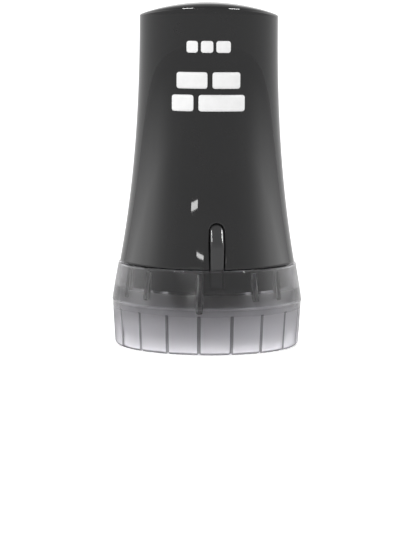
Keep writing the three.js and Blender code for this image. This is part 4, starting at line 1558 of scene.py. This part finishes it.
def make_world(settings):
    """A white studio: a dim front where the camera stands, bright walls at both sides and a plain
    back. The walls' brightness follows the cosine of the direction's azimuth and falls to one
    level at the horizon. Overhead it changes from dim in front to plain behind. The camera itself
    sees white."""
    world = bpy.data.worlds.new("studio")
    bpy.context.scene.world = world
    world.use_nodes = True
    tree = world.node_tree
    tree.nodes.clear()
    direction = add(tree, "ShaderNodeTexCoord").outputs["Generated"]
    parts = add(tree, "ShaderNodeSeparateXYZ", {"Vector": direction}).outputs
    level_part = add(tree, "ShaderNodeCombineXYZ", {"X": parts["X"], "Y": parts["Y"]})
    flat = add(tree, "ShaderNodeVectorMath", {0: level_part.outputs[0]}, operation="NORMALIZE")
    aim = math.radians(3)
    cosine = add(tree, "ShaderNodeVectorMath", {
        0: flat.outputs[0], 1: (-math.sin(aim), math.cos(aim), 0.0),
    }, operation="DOT_PRODUCT").outputs["Value"]
    # Cosines, and the walls' brightness there
    stops = [
        (-1.0, 0.62), (-0.75, 0.66), (-0.5, 0.8), (-0.36, 1.0), (-0.2, 1.35), (0.0, 1.8),
        (0.3, 1.95), (0.55, 1.75), (0.75, 1.4), (0.9, 1.0), (1.0, 0.8),
    ]
    top = 2.0
    walls = ramp(tree, mapped(tree, cosine, -1.0, 1.0), [
        ((place + 1) / 2, (level / top,) * 3) for place, level in stops
    ])
    walls = times(tree, walls, top * settings.world_level)
    above = mapped(tree, parts["Z"], 0.0, 0.06)
    walls = add(tree, "ShaderNodeMix", {"Factor": above, "A": settings.horizon_level, "B": walls})
    walls = walls.outputs["Result"]
    front, back = settings.ceiling_level, 1.8 * settings.ceiling_level
    ceiling = mapped(tree, parts["Y"], -0.3, 0.3, front, back)
    high = mapped(tree, parts["Z"], 0.3, 0.6, smooth=True)
    mixed = add(tree, "ShaderNodeMix", {"Factor": high, "A": walls, "B": ceiling})
    camera = add(tree, "ShaderNodeLightPath").outputs["Is Camera Ray"]
    strength = math_node(tree, "MAXIMUM", mixed.outputs["Result"], camera)
    light = add(tree, "ShaderNodeBackground", {"Color": (1, 1, 1, 1), "Strength": strength})
    add(tree, "ShaderNodeOutputWorld", {"Surface": light.outputs[0]})


CAMERA_PLACE = Vector((0.2, -517.3, 73.7)) * MM
CAMERA_PITCH = math.radians(6.62)
CAMERA_ROLL = math.radians(0.43)
CAMERA_LENS = 169.0
SENSOR = 36.0
LAMP_DISTANCE = 0.6
LAMP_RISE = math.radians(35)
FILL_PLACE = Vector((-0.35, -0.8, 0.5))
FILL_LEVEL = 3.1
FILL_SIZE = (0.5, 0.5)
SIDE_LAMP_SIZE = (0.19, 0.07)
FRONT_LAMP_LEVEL = 13
FLOOR_GLOW_SEEN = 0.6
FLOOR_GLOW_THROUGH = 0.8


def lamp(name, place, target, size, level, roll=0.0, lights=True, shines=True):
    """An area lamp that faces a target; its level is the brightness that its surface shows. It
    lights dull surfaces, shines as a highlight in glossy ones, or does both."""
    light = bpy.data.lights.new(name, "AREA")
    light.shape = "RECTANGLE"
    light.size, light.size_y = size
    light.energy = level * math.pi * size[0] * size[1]
    item = placed(name, light)
    item.location = place
    aim = (target - place).to_track_quat("-Z", "Y").to_matrix()
    item.rotation_euler = (aim @ Matrix.Rotation(roll, 3, "Z")).to_euler()
    item.visible_diffuse = lights
    item.visible_glossy = shines


def mirrored_lamp(name, azimuth, height, size, level, roll):
    """A lamp whose reflection the camera sees on the housing at that azimuth and height: the way
    to it is the way to the camera, mirrored in the wall's normal there."""
    radius, step = housing_outer(height), 0.01 * MM
    rise = (radius - housing_outer(height + step)) / step
    spot = Vector((radius * math.sin(azimuth), -radius * math.cos(azimuth), height))
    normal = Vector((math.sin(azimuth), -math.cos(azimuth), rise)).normalized()
    to_camera = (CAMERA_PLACE - spot).normalized()
    way = 2 * normal.dot(to_camera) * normal - to_camera
    lamp(name, spot + way * LAMP_DISTANCE, spot, size, level, roll)


def make_lamps():
    """Two small lamps in front, which show as bright spots on the housing, one higher up at each
    side, which shows on the roof's edge and on the tongue's bend, and a soft one that brings the
    front up to a plain level, at which white print stays just under white."""
    for name, azimuth, height, size, roll in (
        ("front_high", -9.3, 29.1 * MM, (0.098, 0.005), 0),
        ("front_low", -5.2, 19.4 * MM, (0.072, 0.003), 3),
    ):
        mirrored_lamp(
            name, math.radians(azimuth), height, size, FRONT_LAMP_LEVEL, math.radians(roll)
        )
    crown = Vector((0, -HOUSING_TOP_RADIUS, HOUSING_CORNER))
    for name, azimuth, level in (("left", -42, 64), ("right", 51, 60)):
        way = upright(math.cos(LAMP_RISE), math.radians(azimuth), math.sin(LAMP_RISE))
        place = crown + Vector(way) * LAMP_DISTANCE
        lamp(f"side_{name}", place, crown, SIDE_LAMP_SIZE, level, lights=False)
    lamp("fill", FILL_PLACE, crown, FILL_SIZE, FILL_LEVEL, shines=False)


def make_camera():
    """The camera of the picture: a long lens, a little above the stamp and slightly rolled."""
    data = bpy.data.cameras.new("camera")
    data.sensor_width = SENSOR
    data.lens = CAMERA_LENS
    data.clip_end = 50
    camera = placed("camera", data)
    camera.matrix_world = (
        Matrix.Translation(CAMERA_PLACE)
        @ Matrix.Rotation(math.pi / 2 - CAMERA_PITCH, 4, "X")
        @ Matrix.Rotation(CAMERA_ROLL, 4, "Z")
    )
    bpy.context.scene.camera = camera


SETTINGS = {
    "stamp_cap": StampCapSettings,
    "stamp_housing": StampHousingSettings,
    "stamp_finish": StampFinishSettings,
    "stamp_stage": StampStageSettings,
}
OPERATORS = (
    STAMP_OT_finishes,
    STAMP_OT_cap,
    STAMP_OT_housing,
    STAMP_OT_tongues,
    STAMP_OT_neck,
    STAMP_OT_cartridge_frame,
    STAMP_OT_print_wheel,
    STAMP_OT_ink_roller,
    STAMP_OT_axles,
    STAMP_OT_stage,
)


def register():
    """Registers the classes and gives every scene its settings."""
    for item in (*SETTINGS.values(), *OPERATORS, STAMP_PT_panel):
        bpy.utils.register_class(item)
    for name, settings in SETTINGS.items():
        setattr(bpy.types.Scene, name, PointerProperty(type=settings))


def unregister():
    """Takes the settings and the classes away again."""
    for name in SETTINGS:
        delattr(bpy.types.Scene, name)
    for item in reversed((*SETTINGS.values(), *OPERATORS, STAMP_PT_panel)):
        bpy.utils.unregister_class(item)


def main():
    """Makes the pieces and the stage in order."""
    register()
    bpy.ops.stamp.finishes()
    bpy.ops.stamp.cap()
    bpy.ops.stamp.housing()
    bpy.ops.stamp.tongues()
    bpy.ops.stamp.neck()
    bpy.ops.stamp.cartridge_frame()
    bpy.ops.stamp.print_wheel()
    bpy.ops.stamp.ink_roller()
    bpy.ops.stamp.axles()
    bpy.ops.stamp.stage()


if __name__ == "__main__":
    main()
